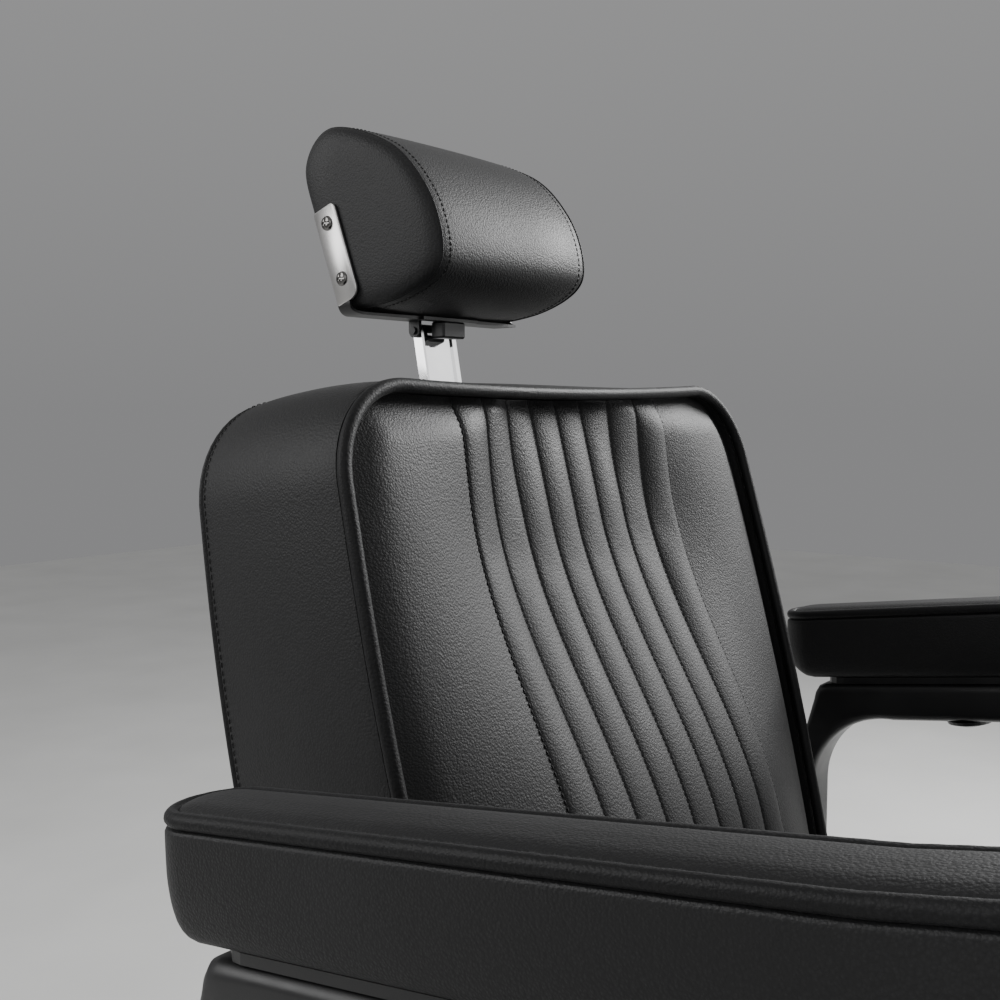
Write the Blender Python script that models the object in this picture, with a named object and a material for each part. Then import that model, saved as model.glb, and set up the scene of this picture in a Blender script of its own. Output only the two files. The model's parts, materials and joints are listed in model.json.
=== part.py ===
"""Barber chair with a pumped base, reclining channelled back, padded arms and a tilting headrest.

Metres, +Z up.  The chair faces -Y, +X is the sitter's left, and the origin is on the floor
under the swivel column.
"""
import math

import bmesh
import bpy
from mathutils import Matrix, Vector

for old in list(bpy.data.objects):
    bpy.data.objects.remove(old, do_unlink=True)

# Clearances
GAP = 0.0003                 # between pieces that touch
RUN_GAP = 0.0005             # between pieces that turn or slide on each other

# Base and pump
BASE_RADIUS = 0.300
BASE_PLATE_THICK = 0.008
RIM_WIDTH = 0.008
RIM_HEIGHT = 0.014
COVER_WALL = 0.002
COVER_HEIGHT = 0.105
PUMP_RADIUS = 0.058
PUMP_HEIGHT = 0.237
FLANGE_RADIUS = 0.100
FLANGE_THICK = 0.012
BASE_BOLT_CIRCLE = 0.084
BASE_BOLT_RADIUS = 0.005
COLLAR_HEIGHT = 0.020
COLLAR_WALL = 0.012
RAM_RADIUS = 0.025
RAM_SEATED = 0.190           # length of ram inside the pump when the chair is lowest
RAM_CLEAR = 0.040            # length of ram between collar and seat plate
PEDAL_PIVOT_HEIGHT = 0.155
PEDAL_REACH = 0.270
PEDAL_THICK = 0.014
PEDAL_PIN_RADIUS = 0.006
PEDAL_STRAP_HEIGHT = 0.048
PEDAL_STRAP_WALL = 0.004
PEDAL_EAR_WALL = 0.006
PEDAL_PAD_WIDTH = 0.090
PEDAL_PAD_LENGTH = 0.052

# Seat
HUB_RADIUS = 0.048
HUB_FLANGE_RADIUS = 0.075
SEAT_PLATE_WIDTH = 0.170
SEAT_PLATE_LENGTH = 0.360
SEAT_PLATE_THICK = 0.008
SEAT_BOLT_RADIUS = 0.005
BOLT_EDGE = 0.018
RAIL_WIDTH = 0.030
RAIL_HEIGHT = 0.030
RAIL_SPACING = 0.400         # centre to centre
RAIL_FRONT_Y = -0.315
RAIL_REAR_Y = 0.205
ARM_BAR_FRONT_Y = -0.160
ARM_BAR_REAR_Y = 0.145
SEAT_WIDTH = 0.590
SEAT_FRONT_Y = -0.372
SEAT_REAR_Y = 0.085
SEAT_BOARD_THICK = 0.012
SEAT_BOARD_INSET = 0.014
SEAT_WELT_HEIGHT = 0.092     # piping above the seat board at the rear
SEAT_PITCH = math.radians(4.0)
SEAT_CROWN = 0.016
SEAT_FRONT_CORNER = 0.060
SEAT_REAR_CORNER = 0.030
SEAT_DRAW_IN = 0.010
SEAT_WELT_INSET = 0.0025
WELT_RADIUS = 0.0046

# Channel stitching, the same on seat and back
CHANNELS = 8
CHANNEL_PITCH = 0.0321
CHANNEL_PUFF = 0.0065

# Arms
ARM_INNER_X = 0.3301
ARM_WIDTH = 0.058
ARM_REAR_Y = 0.2215
ARM_FRONT_Y = -0.226
ARM_TOP = 0.702              # top edge of the pad over the column
ARM_RISE = 0.142             # rise towards the front, per length
ARM_KINK_Y = -0.140
ARM_KINK_RISE = 0.050        # extra rise in front of the kink
ARM_PAD_THICK = 0.0655
ARM_REAR_LIFT = 0.014        # how far the pad's underside sweeps up at its rear end
ARM_LIFT_REACH = 0.036
ARM_TAPER = 0.006
ARM_WELT_RADIUS = 0.0043
ARM_CROWN = 0.004
ARM_BOARD_THICK = 0.006
ARM_FRAME_WIDTH = 0.046
ARM_BOARD_SET_IN = 0.003     # board edge inside the arm frame's edge
ARM_BEAM_DEPTH = 0.0345
ARM_COLUMN_DEPTH = 0.050
ARM_REAR_DEPTH = 0.034
ARM_COLUMN_REAR_Y = 0.220
ARM_SHOULDER_Y = 0.186       # rear of the loop where it meets the pad
ARM_SHOULDER_EDGE = 0.010    # height of the shoulder's straight edge
ARM_COLUMN_LEAN = 0.27       # how fast the column comes out below the shoulder
ARM_SILL_DEPTH = 0.040
ARM_ARCH_RADIUS = 0.076
ARM_FOOT_RADIUS = 0.030
ARM_EDGE = 0.009             # chamfer of the loop's bar
ARM_EDGE_SHARE = 0.22
ARM_SILL_FRONT_Y = -0.205
CAP_RADIUS = 0.0200
CAP_HEIGHT = 0.0055
CAP_Y = 0.047
ARM_BOLT_RADIUS = 0.005

# Backrest
BACK_TOP = 0.885
BACK_BOTTOM = 0.432
BACK_TOP_WIDTH = 0.490
BACK_FLARE = -0.016          # half width gained per height going down
BACK_SIDE_BOW = 0.0125       # outward bow of each side
BACK_REAR_TAPER = 0.010      # how much narrower each side is at the rear
BACK_FRONT_TOP_Y = 0.234
BACK_FRONT_LEAN = math.radians(14.3)
BACK_REAR_TOP_Y = 0.374
BACK_REAR_LEAN = math.radians(10.2)
BACK_FRONT_CORNER = 0.065
BACK_REAR_CORNER = 0.075
BACK_FOOT_CORNER = 0.030
BACK_TOP_DIP = 0.004         # dip of the front top edge
BACK_REAR_SHOULDER = 0.013   # drop of the rear corners below the front top edge
BACK_REAR_CROWN = 0.014
BACK_HOLLOW = 0.0200         # set-back of the upper channels behind the piping
BACK_LUMBAR = 0.028          # bulge of the lower channels in front of the piping
LUMBAR_LOW_Z = 0.555
LUMBAR_HIGH_Z = 0.785
BACK_FLAT_HALF = 0.075       # half width of the evenly hollowed middle
BACK_TOP_FADE = 0.100        # height over which the hollow narrows towards the top
BACK_FOOT_FADE = 0.090
BACK_MARGIN_CROWN = 0.006
BACK_RIM_TUCK = 0.0085       # how far the cushion's rim dives behind the piping plane
BACK_RIM_REACH = 0.012
BOXING_WALL = 0.006
BOXING_SWELL = 0.004
REAR_PANEL_BULGE = 0.014
REAR_PANEL_ROLL = 0.007
BACK_BOARD_THICK = 0.012
CUSHION_FIT = 0.0012         # room round the back cushion inside the boxing
BOARD_FIT = 0.0015           # room round the back board inside the boxing
BACK_BOARD_DEPTH = 0.0225    # rear face of the board in front of the rear seam
BACK_ARM_THICK = 0.008
BACK_ARM_DEPTH = 0.017
BACK_ARM_TOP = 0.690
BACK_BRACE_Z = 0.620
BACK_BRACE_HEIGHT = 0.030

# Recline hinge and lock cylinder
HINGE_Y = 0.235
HINGE_Z = 0.395
HINGE_PIN_RADIUS = 0.008
HINGE_BUSH_WALL = 0.002
HINGE_EYE_RADIUS = 0.019
HINGE_BRACKET_THICK = 0.0102
RECLINE_ANGLE = math.radians(50.0)
LOCK_ARM = 0.090             # hinge to lock-rod pin
LOCK_INBOARD = 0.020         # lock cylinder inside the right-hand back arm
LOCK_RADIUS = 0.016
LOCK_LENGTH = 0.230
LOCK_REACH = 0.165           # rod showing between cylinder and pin
LOCK_INSIDE = 0.100          # rod inside the cylinder with the back upright
LOCK_ROD_RADIUS = 0.006
LOCK_PIN_RADIUS = 0.005
LOCK_SLOT_PLAY = 0.0014
LEVER_Y = -0.222
LEVER_LENGTH = 0.150
LEVER_DROP = math.radians(25.0)
LEVER_RADIUS = 0.005
LEVER_OUT_X = 0.268
KNOB_RADIUS = 0.013

# Headrest
POST_WIDTH = 0.041
POST_THICK = 0.011
POST_FLUTE = 0.0018
POST_BEHIND = 0.0129         # middle of the post in front of the rear seam plane
POST_BELOW = 0.195           # pin height above the foot of the post
PIN_ABOVE_BACK = 0.045       # tilt pin above the top edge of the back
TILT_PIN_Z = BACK_TOP + PIN_ABOVE_BACK
TILT_PIN_RADIUS = 0.003
RECEIVER_WALL = 0.002
RECEIVER_DEEP = 0.017        # mouth of the receiver below the top edge of the back
RECEIVER_TOP = BACK_TOP - RECEIVER_DEEP
RECEIVER_LENGTH = 0.165
HEAD_WIDTH = 0.192
HEAD_TALL = 0.149            # tilt pin to the top of the pad
HEAD_OUTLINE = ((0.1611, 1.0), (0.3423, 0.8389), (0.2685, 0.5503), (0.1477, 0.2013), (0.0671, 0.0906),
                (-0.2685, 0.1208), (-0.5235, 0.2282), (-0.5772, 0.3758), (-0.4832, 0.6309),
                (-0.2416, 0.8725))    # side view of the pad from the tilt pin, as shares of HEAD_TALL
HEAD_CAP_ROUND = 0.006
HEAD_BEAD = 0.0035           # width of the piping bead round each end cap
EAR_WIDTH = 0.023
EAR_HEIGHT = 0.070
EAR_LEAN = math.radians(20.0)
EAR_FOOT_Y = -0.001          # foot of each ear from the tilt pin
EAR_FOOT_Z = 0.023
EAR_CORNER = 0.006
STRAP_RISE = 0.0088          # middle of the strap above the tilt pin
STRAP_THICK = 0.0025
STRAP_BEND = 0.010
SCREW_RADIUS = 0.0055
SCREW_HEIGHT = 0.002

# Footrest
FOOT_TUBE_RADIUS = 0.011
FOOT_TUBE_X = 0.100
FOOT_BEND_Y = -0.370
FOOT_AXIS_Y = -0.505
FOOT_AXIS_Z = 0.170
FOOT_BEND_RADIUS = 0.045
FOOT_PLATE_WIDTH = 0.340
FOOT_PLATE_LENGTH = 0.150
FOOT_PLATE_THICK = 0.005
FOOT_PLATE_PITCH = math.radians(12.0)
FOOT_SLEEVE_WALL = 0.004
FOOT_SLEEVE_LENGTH = 0.040
FOOT_MAT_THICK = 0.004
FOOT_RIBS = 9

# Roundness of turned, piped and arched pieces
TURN_STEPS = 40
SMALL_STEPS = 16
ARC_STEPS = 5
ARM_TIP = 4                  # points from the side of an arm's round end to its tip

# Heights worked out from the sizes above
PUMP_TOP = BASE_PLATE_THICK + GAP + PUMP_HEIGHT
COLLAR_TOP = PUMP_TOP + GAP + COLLAR_HEIGHT
RAM_TOP = COLLAR_TOP + RAM_CLEAR
RAM_BOTTOM = PUMP_TOP - RAM_SEATED
HUB_TOP = RAM_TOP + GAP + 0.012
SEAT_PLATE_Z = HUB_TOP + GAP
RAIL_Z = SEAT_PLATE_Z + SEAT_PLATE_THICK + GAP
BOARD_Z = RAIL_Z + RAIL_HEIGHT + GAP
CUSHION_Z = BOARD_Z + SEAT_BOARD_THICK + GAP
ARM_MID_X = ARM_INNER_X + ARM_WIDTH / 2
ARM_FRAME_INNER_X = ARM_MID_X - ARM_FRAME_WIDTH / 2
BACK_ARM_X = ((RAIL_SPACING - RAIL_WIDTH - BACK_ARM_THICK) / 2
              - GAP - HINGE_BRACKET_THICK - RUN_GAP)    # middle of each steel back arm
LOCK_X = LOCK_INBOARD - BACK_ARM_X
LOCK_Z = HINGE_Z - LOCK_ARM * math.cos(RECLINE_ANGLE / 2)
LOCK_PIN_Y = HINGE_Y + LOCK_ARM * math.sin(RECLINE_ANGLE / 2)
SEAM_HALF_SPAN = CHANNELS * CHANNEL_PITCH / 2

# Finishes: colour, roughness, metallic
FINISHES = {
    "leather": ((0.018, 0.018, 0.019), 0.46, 0.0),
    "chrome": ((0.78, 0.78, 0.79), 0.10, 1.0),
    "satin_steel": ((0.62, 0.61, 0.60), 0.30, 1.0),
    "black_steel": ((0.020, 0.020, 0.021), 0.38, 0.3),
    "black_alloy": ((0.020, 0.020, 0.021), 0.38, 0.3),
    "plywood": ((0.42, 0.29, 0.17), 0.70, 0.0),
    "black_wood": ((0.020, 0.020, 0.021), 0.45, 0.0),
    "rubber": ((0.015, 0.015, 0.015), 0.75, 0.0),
    "plastic": ((0.012, 0.012, 0.013), 0.42, 0.0),
    "zinc_steel": ((0.50, 0.50, 0.51), 0.40, 1.0),
    "bronze": ((0.55, 0.36, 0.16), 0.35, 1.0),
}


# Shared helpers

def mix(a, b, share):
    """Value a share of the way from a to b."""
    return a + (b - a) * share


def smooth_step(share):
    """Ease from 0 to 1, flat at both ends."""
    share = min(max(share, 0.0), 1.0)
    return share * share * (3.0 - 2.0 * share)


def finish_for(name, finish):
    """A material of its own for one piece."""
    colour, roughness, metallic = FINISHES[finish]
    made = bpy.data.materials.new(name + "_" + finish)
    made.use_nodes = True
    shader = made.node_tree.nodes["Principled BSDF"]
    shader.inputs["Base Color"].default_value = (*colour, 1.0)
    shader.inputs["Roughness"].default_value = roughness
    shader.inputs["Metallic"].default_value = metallic
    return made


def pivot(name, point, parent=None):
    """An empty on a joint's axis."""
    empty = bpy.data.objects.new(name, None)
    bpy.context.scene.collection.objects.link(empty)
    empty.location = Vector(point) - (parent["world"] if parent else Vector())
    empty.parent = parent["empty"] if parent else None
    return {"empty": empty, "world": Vector(point)}


def place(obj, carrier):
    """Link an object made in world coordinates under its carrier's empty."""
    bpy.context.scene.collection.objects.link(obj)
    if carrier:
        obj.parent = carrier["empty"]
        obj.matrix_parent_inverse = Matrix.Translation(-carrier["world"])
    return obj


def add(name, bm, finish, carrier, sharp=35.0):
    """Turn a bmesh into the named piece."""
    bmesh.ops.recalc_face_normals(bm, faces=bm.faces[:])
    mesh = bpy.data.meshes.new(name)
    bm.to_mesh(mesh)
    bm.free()
    mesh.materials.append(finish_for(name, finish))
    mesh.shade_smooth()
    mesh.set_sharp_from_angle(angle=math.radians(sharp))
    return place(bpy.data.objects.new(name, mesh), carrier)


def boolean(target, bm, operation):
    """Cut a closed bmesh out of a piece, or join it on."""
    bmesh.ops.recalc_face_normals(bm, faces=bm.faces[:])
    mesh = bpy.data.meshes.new(target.name + "_tool")
    bm.to_mesh(mesh)
    bm.free()
    tool = place(bpy.data.objects.new(target.name + "_tool", mesh), None)
    tool.hide_render = True
    tool.display_type = "WIRE"
    modifier = target.modifiers.new(operation.lower(), "BOOLEAN")
    modifier.operation = operation
    modifier.solver = "EXACT"
    modifier.object = tool
    return target


def cut(target, bm):
    """Cut a closed bmesh out of a piece."""
    return boolean(target, bm, "DIFFERENCE")


def weld(target, bm):
    """Join a closed bmesh onto a piece."""
    return boolean(target, bm, "UNION")


def block(low, high, bevel=0.0):
    """A box between two corners, with its edges bevelled."""
    bm = bmesh.new()
    size = Vector(high) - Vector(low)
    middle = (Vector(high) + Vector(low)) / 2
    shape = Matrix.Translation(middle) @ Matrix.Diagonal((*size, 1.0))
    bmesh.ops.create_cube(bm, size=1.0, matrix=shape)
    if bevel:
        bmesh.ops.bevel(bm, geom=bm.edges[:], offset=bevel, segments=1, affect="EDGES")
    return bm


def turned(profile, steps=TURN_STEPS, closed=False):
    """A profile of (radius, z) points spun about the Z axis."""
    bm = bmesh.new()
    verts = [bm.verts.new((radius, 0.0, z)) for radius, z in profile]
    edges = [bm.edges.new(pair) for pair in zip(verts, verts[1:])]
    if closed:
        edges.append(bm.edges.new((verts[-1], verts[0])))
    bmesh.ops.spin(bm, geom=verts + edges, cent=(0, 0, 0), axis=(0, 0, 1),
                   angle=2 * math.pi, steps=steps)
    bmesh.ops.remove_doubles(bm, verts=bm.verts[:], dist=1e-6)
    return bm


def moved(bm, matrix):
    """The same form, moved or turned."""
    bmesh.ops.transform(bm, matrix=matrix, verts=bm.verts[:])
    return bm


def along(point, direction):
    """Matrix that stands a form made along +Z at a point, along a direction."""
    turn = Vector((0, 0, 1)).rotation_difference(Vector(direction))
    return Matrix.Translation(point) @ turn.to_matrix().to_4x4()


def rod(start, end, radius, steps=SMALL_STEPS):
    """A round bar between two points."""
    run = Vector(end) - Vector(start)
    bm = turned([(0, 0), (radius, 0), (radius, run.length), (0, run.length)], steps)
    return moved(bm, along(start, run))


def bolt_head(spot, direction, radius):
    """A domed bolt head on a face, sunk a little so that it joins what it is on."""
    wide = radius * 1.8
    profile = [(0, -radius * 0.4), (wide, -radius * 0.4), (wide, radius * 0.7), (wide * 0.7, radius * 1.2),
               (0, radius * 1.2)]
    return moved(turned(profile, 12), along(spot, direction))


def arc(centre, radius, start, end, steps=ARC_STEPS):
    """Points on an arc in a plane, from angle start to end in degrees."""
    angles = [math.radians(mix(start, end, k / steps)) for k in range(steps + 1)]
    return [(centre[0] + radius * math.cos(a), centre[1] + radius * math.sin(a)) for a in angles]


def prism(outline, low_x, high_x):
    """A (y, z) outline extruded along X."""
    bm = bmesh.new()
    face = bm.faces.new([bm.verts.new((low_x, y, z)) for y, z in outline])
    grown = bmesh.ops.extrude_face_region(bm, geom=[face])
    tops = [item for item in grown["geom"] if isinstance(item, bmesh.types.BMVert)]
    bmesh.ops.translate(bm, vec=(high_x - low_x, 0, 0), verts=tops)
    return bm


def cap_across(bm, ring, tip):
    """Close a symmetrical ring with faces across it, from the vertex at its tip."""
    pairs = [(ring[(tip - k) % len(ring)], ring[(tip + k) % len(ring)]) for k in range(len(ring) // 2 + 1)]
    for (a, b), (c, d) in zip(pairs, pairs[1:]):
        bm.faces.new(list(dict.fromkeys((a, b, d, c))))


def loft(rings, wrap=False, tip=None):
    """Closed rings of equal count joined in order; capped, or wrapped round to the first."""
    bm = bmesh.new()
    made = [[bm.verts.new(point) for point in ring] for ring in rings]
    pairs = list(zip(made, made[1:])) + ([(made[-1], made[0])] if wrap else [])
    for lower, upper in pairs:
        count = len(lower)
        for k in range(count):
            after = (k + 1) % count
            bm.faces.new((lower[k], lower[after], upper[after], upper[k]))
    for ring in () if wrap else (made[0], made[-1]):
        if tip is None:
            bm.faces.new(ring)
        else:
            cap_across(bm, ring, tip)
    return bm


def piping(name, points, radius, finish, carrier, cyclic=True, resolution=1):
    """A round cord through a list of points."""
    curve = bpy.data.curves.new(name, "CURVE")
    curve.dimensions = "3D"
    curve.bevel_depth = radius
    curve.bevel_resolution = resolution
    curve.use_fill_caps = True
    spline = curve.splines.new("POLY")
    spline.points.add(len(points) - 1)
    for target, point in zip(spline.points, points):
        target.co = (*point, 1.0)
    spline.use_cyclic_u = cyclic
    curve.materials.append(finish_for(name, finish))
    return place(bpy.data.objects.new(name, curve), carrier)


def smooth_path(points, steps, cyclic=False):
    """Points read from a smooth curve through a few chosen ones."""
    count = len(points)
    last = count if cyclic else count - 1
    path = []
    for k in range(last):
        before = points[(k - 1) % count] if cyclic or k else points[0]
        here, after = points[k], points[(k + 1) % count]
        beyond = points[(k + 2) % count] if cyclic or k + 2 < count else points[-1]
        for step in range(steps):
            t = step / steps
            path.append(tuple(
                0.5 * (2 * b + (c - a) * t + (2 * a - 5 * b + 4 * c - d) * t * t
                       + (3 * b - a - 3 * c + d) * t ** 3)
                for a, b, c, d in zip(before, here, after, beyond)))
    if not cyclic:
        path.append(tuple(points[-1]))
    return path


def mirrored(sides):
    """Side names with their sign: +X is the sitter's left."""
    return [(name, 1.0 if name == "left" else -1.0) for name in sides]


# Joint pivots
base = pivot("base_pivot", (0, 0, 0))
pedal_axis = pivot("pedal_pivot", (0, PUMP_RADIUS + 0.020, PEDAL_PIVOT_HEIGHT), base)
lift = pivot("lift_pivot", (0, 0, PUMP_TOP), base)
swivel = pivot("swivel_pivot", (0, 0, RAM_TOP), lift)
lever_axis = pivot("lever_pivot", (-RAIL_SPACING / 2 - RAIL_WIDTH / 2, LEVER_Y,
                                   RAIL_Z + RAIL_HEIGHT / 2), swivel)
foot_axis = pivot("footplate_pivot", (0, FOOT_AXIS_Y, FOOT_AXIS_Z), swivel)
recline = pivot("recline_pivot", (0, HINGE_Y, HINGE_Z), swivel)
lock = pivot("lock_pivot", (LOCK_X, LOCK_PIN_Y, LOCK_Z), swivel)


# Base: plate, rubber rim, chrome cover, pump and its bolts

def make_base():
    """Everything that stays on the floor."""
    chamfer = 0.0015
    add("base_plate", turned([
        (0, 0), (BASE_RADIUS - chamfer, 0), (BASE_RADIUS, chamfer),
        (BASE_RADIUS, BASE_PLATE_THICK), (0, BASE_PLATE_THICK)]), "black_steel", base)
    inner = BASE_RADIUS + GAP
    outer = inner + RIM_WIDTH
    lip = BASE_PLATE_THICK + GAP
    add("base_rim", turned([
        (inner, 0), (outer - 0.001, 0), (outer, 0.001), (outer, RIM_HEIGHT - 0.004),
        (outer - 0.003, RIM_HEIGHT), (inner - 0.005, RIM_HEIGHT), (inner - 0.005, lip), (inner, lip)],
        closed=True), "rubber", base)

    skirt = BASE_RADIUS - 0.005 - RUN_GAP
    neck = PUMP_RADIUS + RUN_GAP + COVER_WALL
    shape = [(0.00, 0.00), (0.00, 0.07), (0.06, 0.16), (0.24, 0.24), (0.58, 0.34), (0.80, 0.47),
             (0.93, 0.68), (1.00, 1.00)]
    foot = BASE_PLATE_THICK + GAP
    outside = [(mix(skirt, neck, a), foot + COVER_HEIGHT * b) for a, b in shape]
    inside = [(r - COVER_WALL, max(foot, z - COVER_WALL)) for r, z in outside[1:-1]]
    inside = [(skirt - COVER_WALL, foot)] + inside + [(neck - COVER_WALL, outside[-1][1])]
    add("base_cover", turned(outside + inside[::-1], closed=True), "chrome", base)

    bore = RAM_RADIUS + RUN_GAP
    flange_top = foot + FLANGE_THICK
    pump = add("pump_body", turned([
        (0, foot), (FLANGE_RADIUS, foot), (FLANGE_RADIUS, flange_top), (PUMP_RADIUS, flange_top),
        (PUMP_RADIUS, PUMP_TOP), (bore, PUMP_TOP), (bore, RAM_BOTTOM - RUN_GAP),
        (0, RAM_BOTTOM - RUN_GAP)]), "black_steel", base)
    add("pump_collar", turned([
        (bore, PUMP_TOP + GAP), (bore + COLLAR_WALL * 2, PUMP_TOP + GAP),
        (bore + COLLAR_WALL * 2, PUMP_TOP + GAP + COLLAR_HEIGHT * 0.4),
        (bore + COLLAR_WALL, COLLAR_TOP), (bore, COLLAR_TOP)], 32, closed=True), "chrome", base)

    for k in range(4):
        a = math.radians(45 + 90 * k)
        spot = Vector((BASE_BOLT_CIRCLE * math.cos(a), BASE_BOLT_CIRCLE * math.sin(a), flange_top))
        weld(pump, bolt_head(spot, (0, 0, 1), BASE_BOLT_RADIUS))
    make_pedal()


def make_pedal():
    """Foot pump pedal on a bracket at the rear of the pump."""
    y = pedal_axis["world"].y
    z = PEDAL_PIVOT_HEIGHT
    half = PEDAL_THICK / 2
    eye = PEDAL_PIN_RADIUS + PEDAL_EAR_WALL
    strap_half = PEDAL_STRAP_HEIGHT / 2
    ear_half = strap_half - PEDAL_STRAP_WALL
    root = PUMP_RADIUS - PEDAL_STRAP_WALL
    ears = []
    for low in (-half - RUN_GAP - PEDAL_EAR_WALL, half + RUN_GAP):
        ears.append(prism([(root, z - ear_half)] + arc((y, z), eye, -60, 60, 6) + [(root, z + ear_half)],
                          low, low + PEDAL_EAR_WALL))
    inner = PUMP_RADIUS + GAP
    outer = PUMP_RADIUS + PEDAL_STRAP_WALL
    strap = turned([(inner, z - strap_half), (outer, z - strap_half), (outer, z + strap_half),
                    (inner, z + strap_half)], 32, closed=True)
    bracket = add("pedal_bracket", strap, "black_steel", base)
    for ear in ears:
        weld(bracket, ear)
    keep_out = rod((0, 0, z - PEDAL_STRAP_HEIGHT), (0, 0, z + PEDAL_STRAP_HEIGHT), inner, 32)
    cut(bracket, keep_out)
    width = half + RUN_GAP + PEDAL_EAR_WALL
    cut(bracket, rod((-width - 0.01, y, z), (width + 0.01, y, z), PEDAL_PIN_RADIUS + GAP, 12))
    add("pedal_pin", rod((-width - 0.002, y, z), (width + 0.002, y, z), PEDAL_PIN_RADIUS, 12),
        "zinc_steel", base)

    tip = y + PEDAL_REACH
    rise = 0.020
    deep = 0.011
    flat = tip - PEDAL_PAD_LENGTH
    path = [(mix(y + PEDAL_PIN_RADIUS, flat, k / 8), z + rise * smooth_step(k / 8)) for k in range(9)]
    path.append((tip, z + rise))
    upper = [(a, b + deep * 0.5) for a, b in path]
    lower = [(a, b - deep * 0.5) for a, b in path]
    head = arc((y, z), eye, 300, 60, 8)
    pedal = add("pump_pedal", prism(head + upper[1:] + lower[:0:-1], -half, half), "black_steel", pedal_axis)
    cut(pedal, rod((-0.03, y, z), (0.03, y, z), PEDAL_PIN_RADIUS + RUN_GAP, 12))
    top = z + rise + deep * 0.5 + GAP
    pad = add("pedal_pad", block((-PEDAL_PAD_WIDTH / 2, tip - PEDAL_PAD_LENGTH + 0.002, top),
                                 (PEDAL_PAD_WIDTH / 2, tip + 0.006, top + 0.012), 0.003),
              "rubber", pedal_axis)
    for k in range(4):
        groove = tip - PEDAL_PAD_LENGTH + 0.012 + 0.011 * k
        cut(pad, block((-PEDAL_PAD_WIDTH, groove, top + 0.0095),
                       (PEDAL_PAD_WIDTH, groove + 0.004, top + 0.02)))


make_base()


# Seat: ram, hub, frame, board and cushion

def make_ram():
    """Polished ram that lifts the seat."""
    add("ram", turned([(0, RAM_BOTTOM), (RAM_RADIUS, RAM_BOTTOM), (RAM_RADIUS, RAM_TOP - 0.002),
                       (RAM_RADIUS - 0.002, RAM_TOP), (0, RAM_TOP)], 32), "chrome", lift)


def make_frame():
    """Hub, plate and welded rails under the seat."""
    bore = RAM_RADIUS + RUN_GAP
    add("swivel_hub", turned([
        (0, RAM_TOP + GAP), (bore, RAM_TOP + GAP), (bore, COLLAR_TOP + 0.002),
        (HUB_RADIUS * 0.85, COLLAR_TOP + 0.002), (HUB_RADIUS, COLLAR_TOP + 0.008),
        (HUB_RADIUS, HUB_TOP - 0.014), (HUB_FLANGE_RADIUS, HUB_TOP - 0.008), (HUB_FLANGE_RADIUS, HUB_TOP),
        (0, HUB_TOP)], 32), "black_steel", swivel)
    half = SEAT_PLATE_WIDTH / 2
    mid = (ARM_BAR_FRONT_Y + ARM_BAR_REAR_Y) / 2
    plate = add("seat_plate", block((-half, mid - SEAT_PLATE_LENGTH / 2, SEAT_PLATE_Z),
                                    (half, mid + SEAT_PLATE_LENGTH / 2, SEAT_PLATE_Z + SEAT_PLATE_THICK),
                                    0.001), "black_steel", swivel)
    rail_x = RAIL_SPACING / 2
    w = RAIL_WIDTH / 2
    top = RAIL_Z + RAIL_HEIGHT
    frame = add("seat_frame", block((rail_x - w, RAIL_FRONT_Y, RAIL_Z), (rail_x + w, RAIL_REAR_Y, top)),
                "black_steel", swivel)
    weld(frame, block((-rail_x - w, RAIL_FRONT_Y, RAIL_Z), (-rail_x + w, RAIL_REAR_Y, top)))
    reach = ARM_FRAME_INNER_X - GAP
    weld(frame, block((-rail_x, RAIL_FRONT_Y + 0.0001, RAIL_Z), (rail_x, RAIL_FRONT_Y + RAIL_WIDTH, top)))
    for y in (ARM_BAR_FRONT_Y, ARM_BAR_REAR_Y):
        weld(frame, block((-reach, y - w, RAIL_Z), (reach, y + w, top)))
    bolt_x = half - BOLT_EDGE
    for x in (-bolt_x, bolt_x):
        for y in (ARM_BAR_FRONT_Y, ARM_BAR_REAR_Y):
            weld(plate, bolt_head(Vector((x, y, SEAT_PLATE_Z)), (0, 0, -1), SEAT_BOLT_RADIUS))


def seat_edge_x(y, inset):
    """Half width of the seat at a depth, with its corners rounded."""
    half = SEAT_WIDTH / 2 - inset
    for end, corner, sign in ((SEAT_FRONT_Y, SEAT_FRONT_CORNER, 1), (SEAT_REAR_Y, SEAT_REAR_CORNER, -1)):
        into = (y - end) * sign - inset
        corner = corner - inset
        if into < corner:
            half -= corner - math.sqrt(max(corner ** 2 - (corner - into) ** 2, 0.0))
    return half


def seat_rows(inset):
    """Depths of the seat's rows, with more of them round the corners."""
    front = SEAT_FRONT_Y + inset
    rear = SEAT_REAR_Y - inset
    nose = [front + (SEAT_FRONT_CORNER - inset) * (1 - math.cos(math.radians(22.5 * k))) for k in range(4)]
    heel = [rear - (SEAT_REAR_CORNER - inset) * (1 - math.cos(math.radians(30.0 * k))) for k in range(3)]
    start = front + SEAT_FRONT_CORNER - inset
    stop = rear - SEAT_REAR_CORNER + inset
    return nose + [mix(start, stop, k / 7) for k in range(8)] + heel[::-1]


def seam_columns(per_channel):
    """Sideways places of the seams and the crests between them."""
    count = CHANNELS * per_channel
    return [mix(-SEAM_HALF_SPAN, SEAM_HALF_SPAN, k / count) for k in range(count + 1)]


def channel_puff(x):
    """How far a channel swells between its two seams."""
    if abs(x) >= SEAM_HALF_SPAN:
        return 0.0
    share = (x + SEAM_HALF_SPAN) / CHANNEL_PITCH % 1.0
    return CHANNEL_PUFF * math.sqrt(max(1.0 - (2.0 * share - 1.0) ** 2, 0.0))


def row_columns(edge, per_channel):
    """One row of sideways places out to the edge, denser over the channels."""
    margin = [mix(SEAM_HALF_SPAN, edge, share) for share in (0.30, 0.62, 0.86, 0.96, 1.0)]
    return [-x for x in margin[::-1]] + seam_columns(per_channel) + margin


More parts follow.
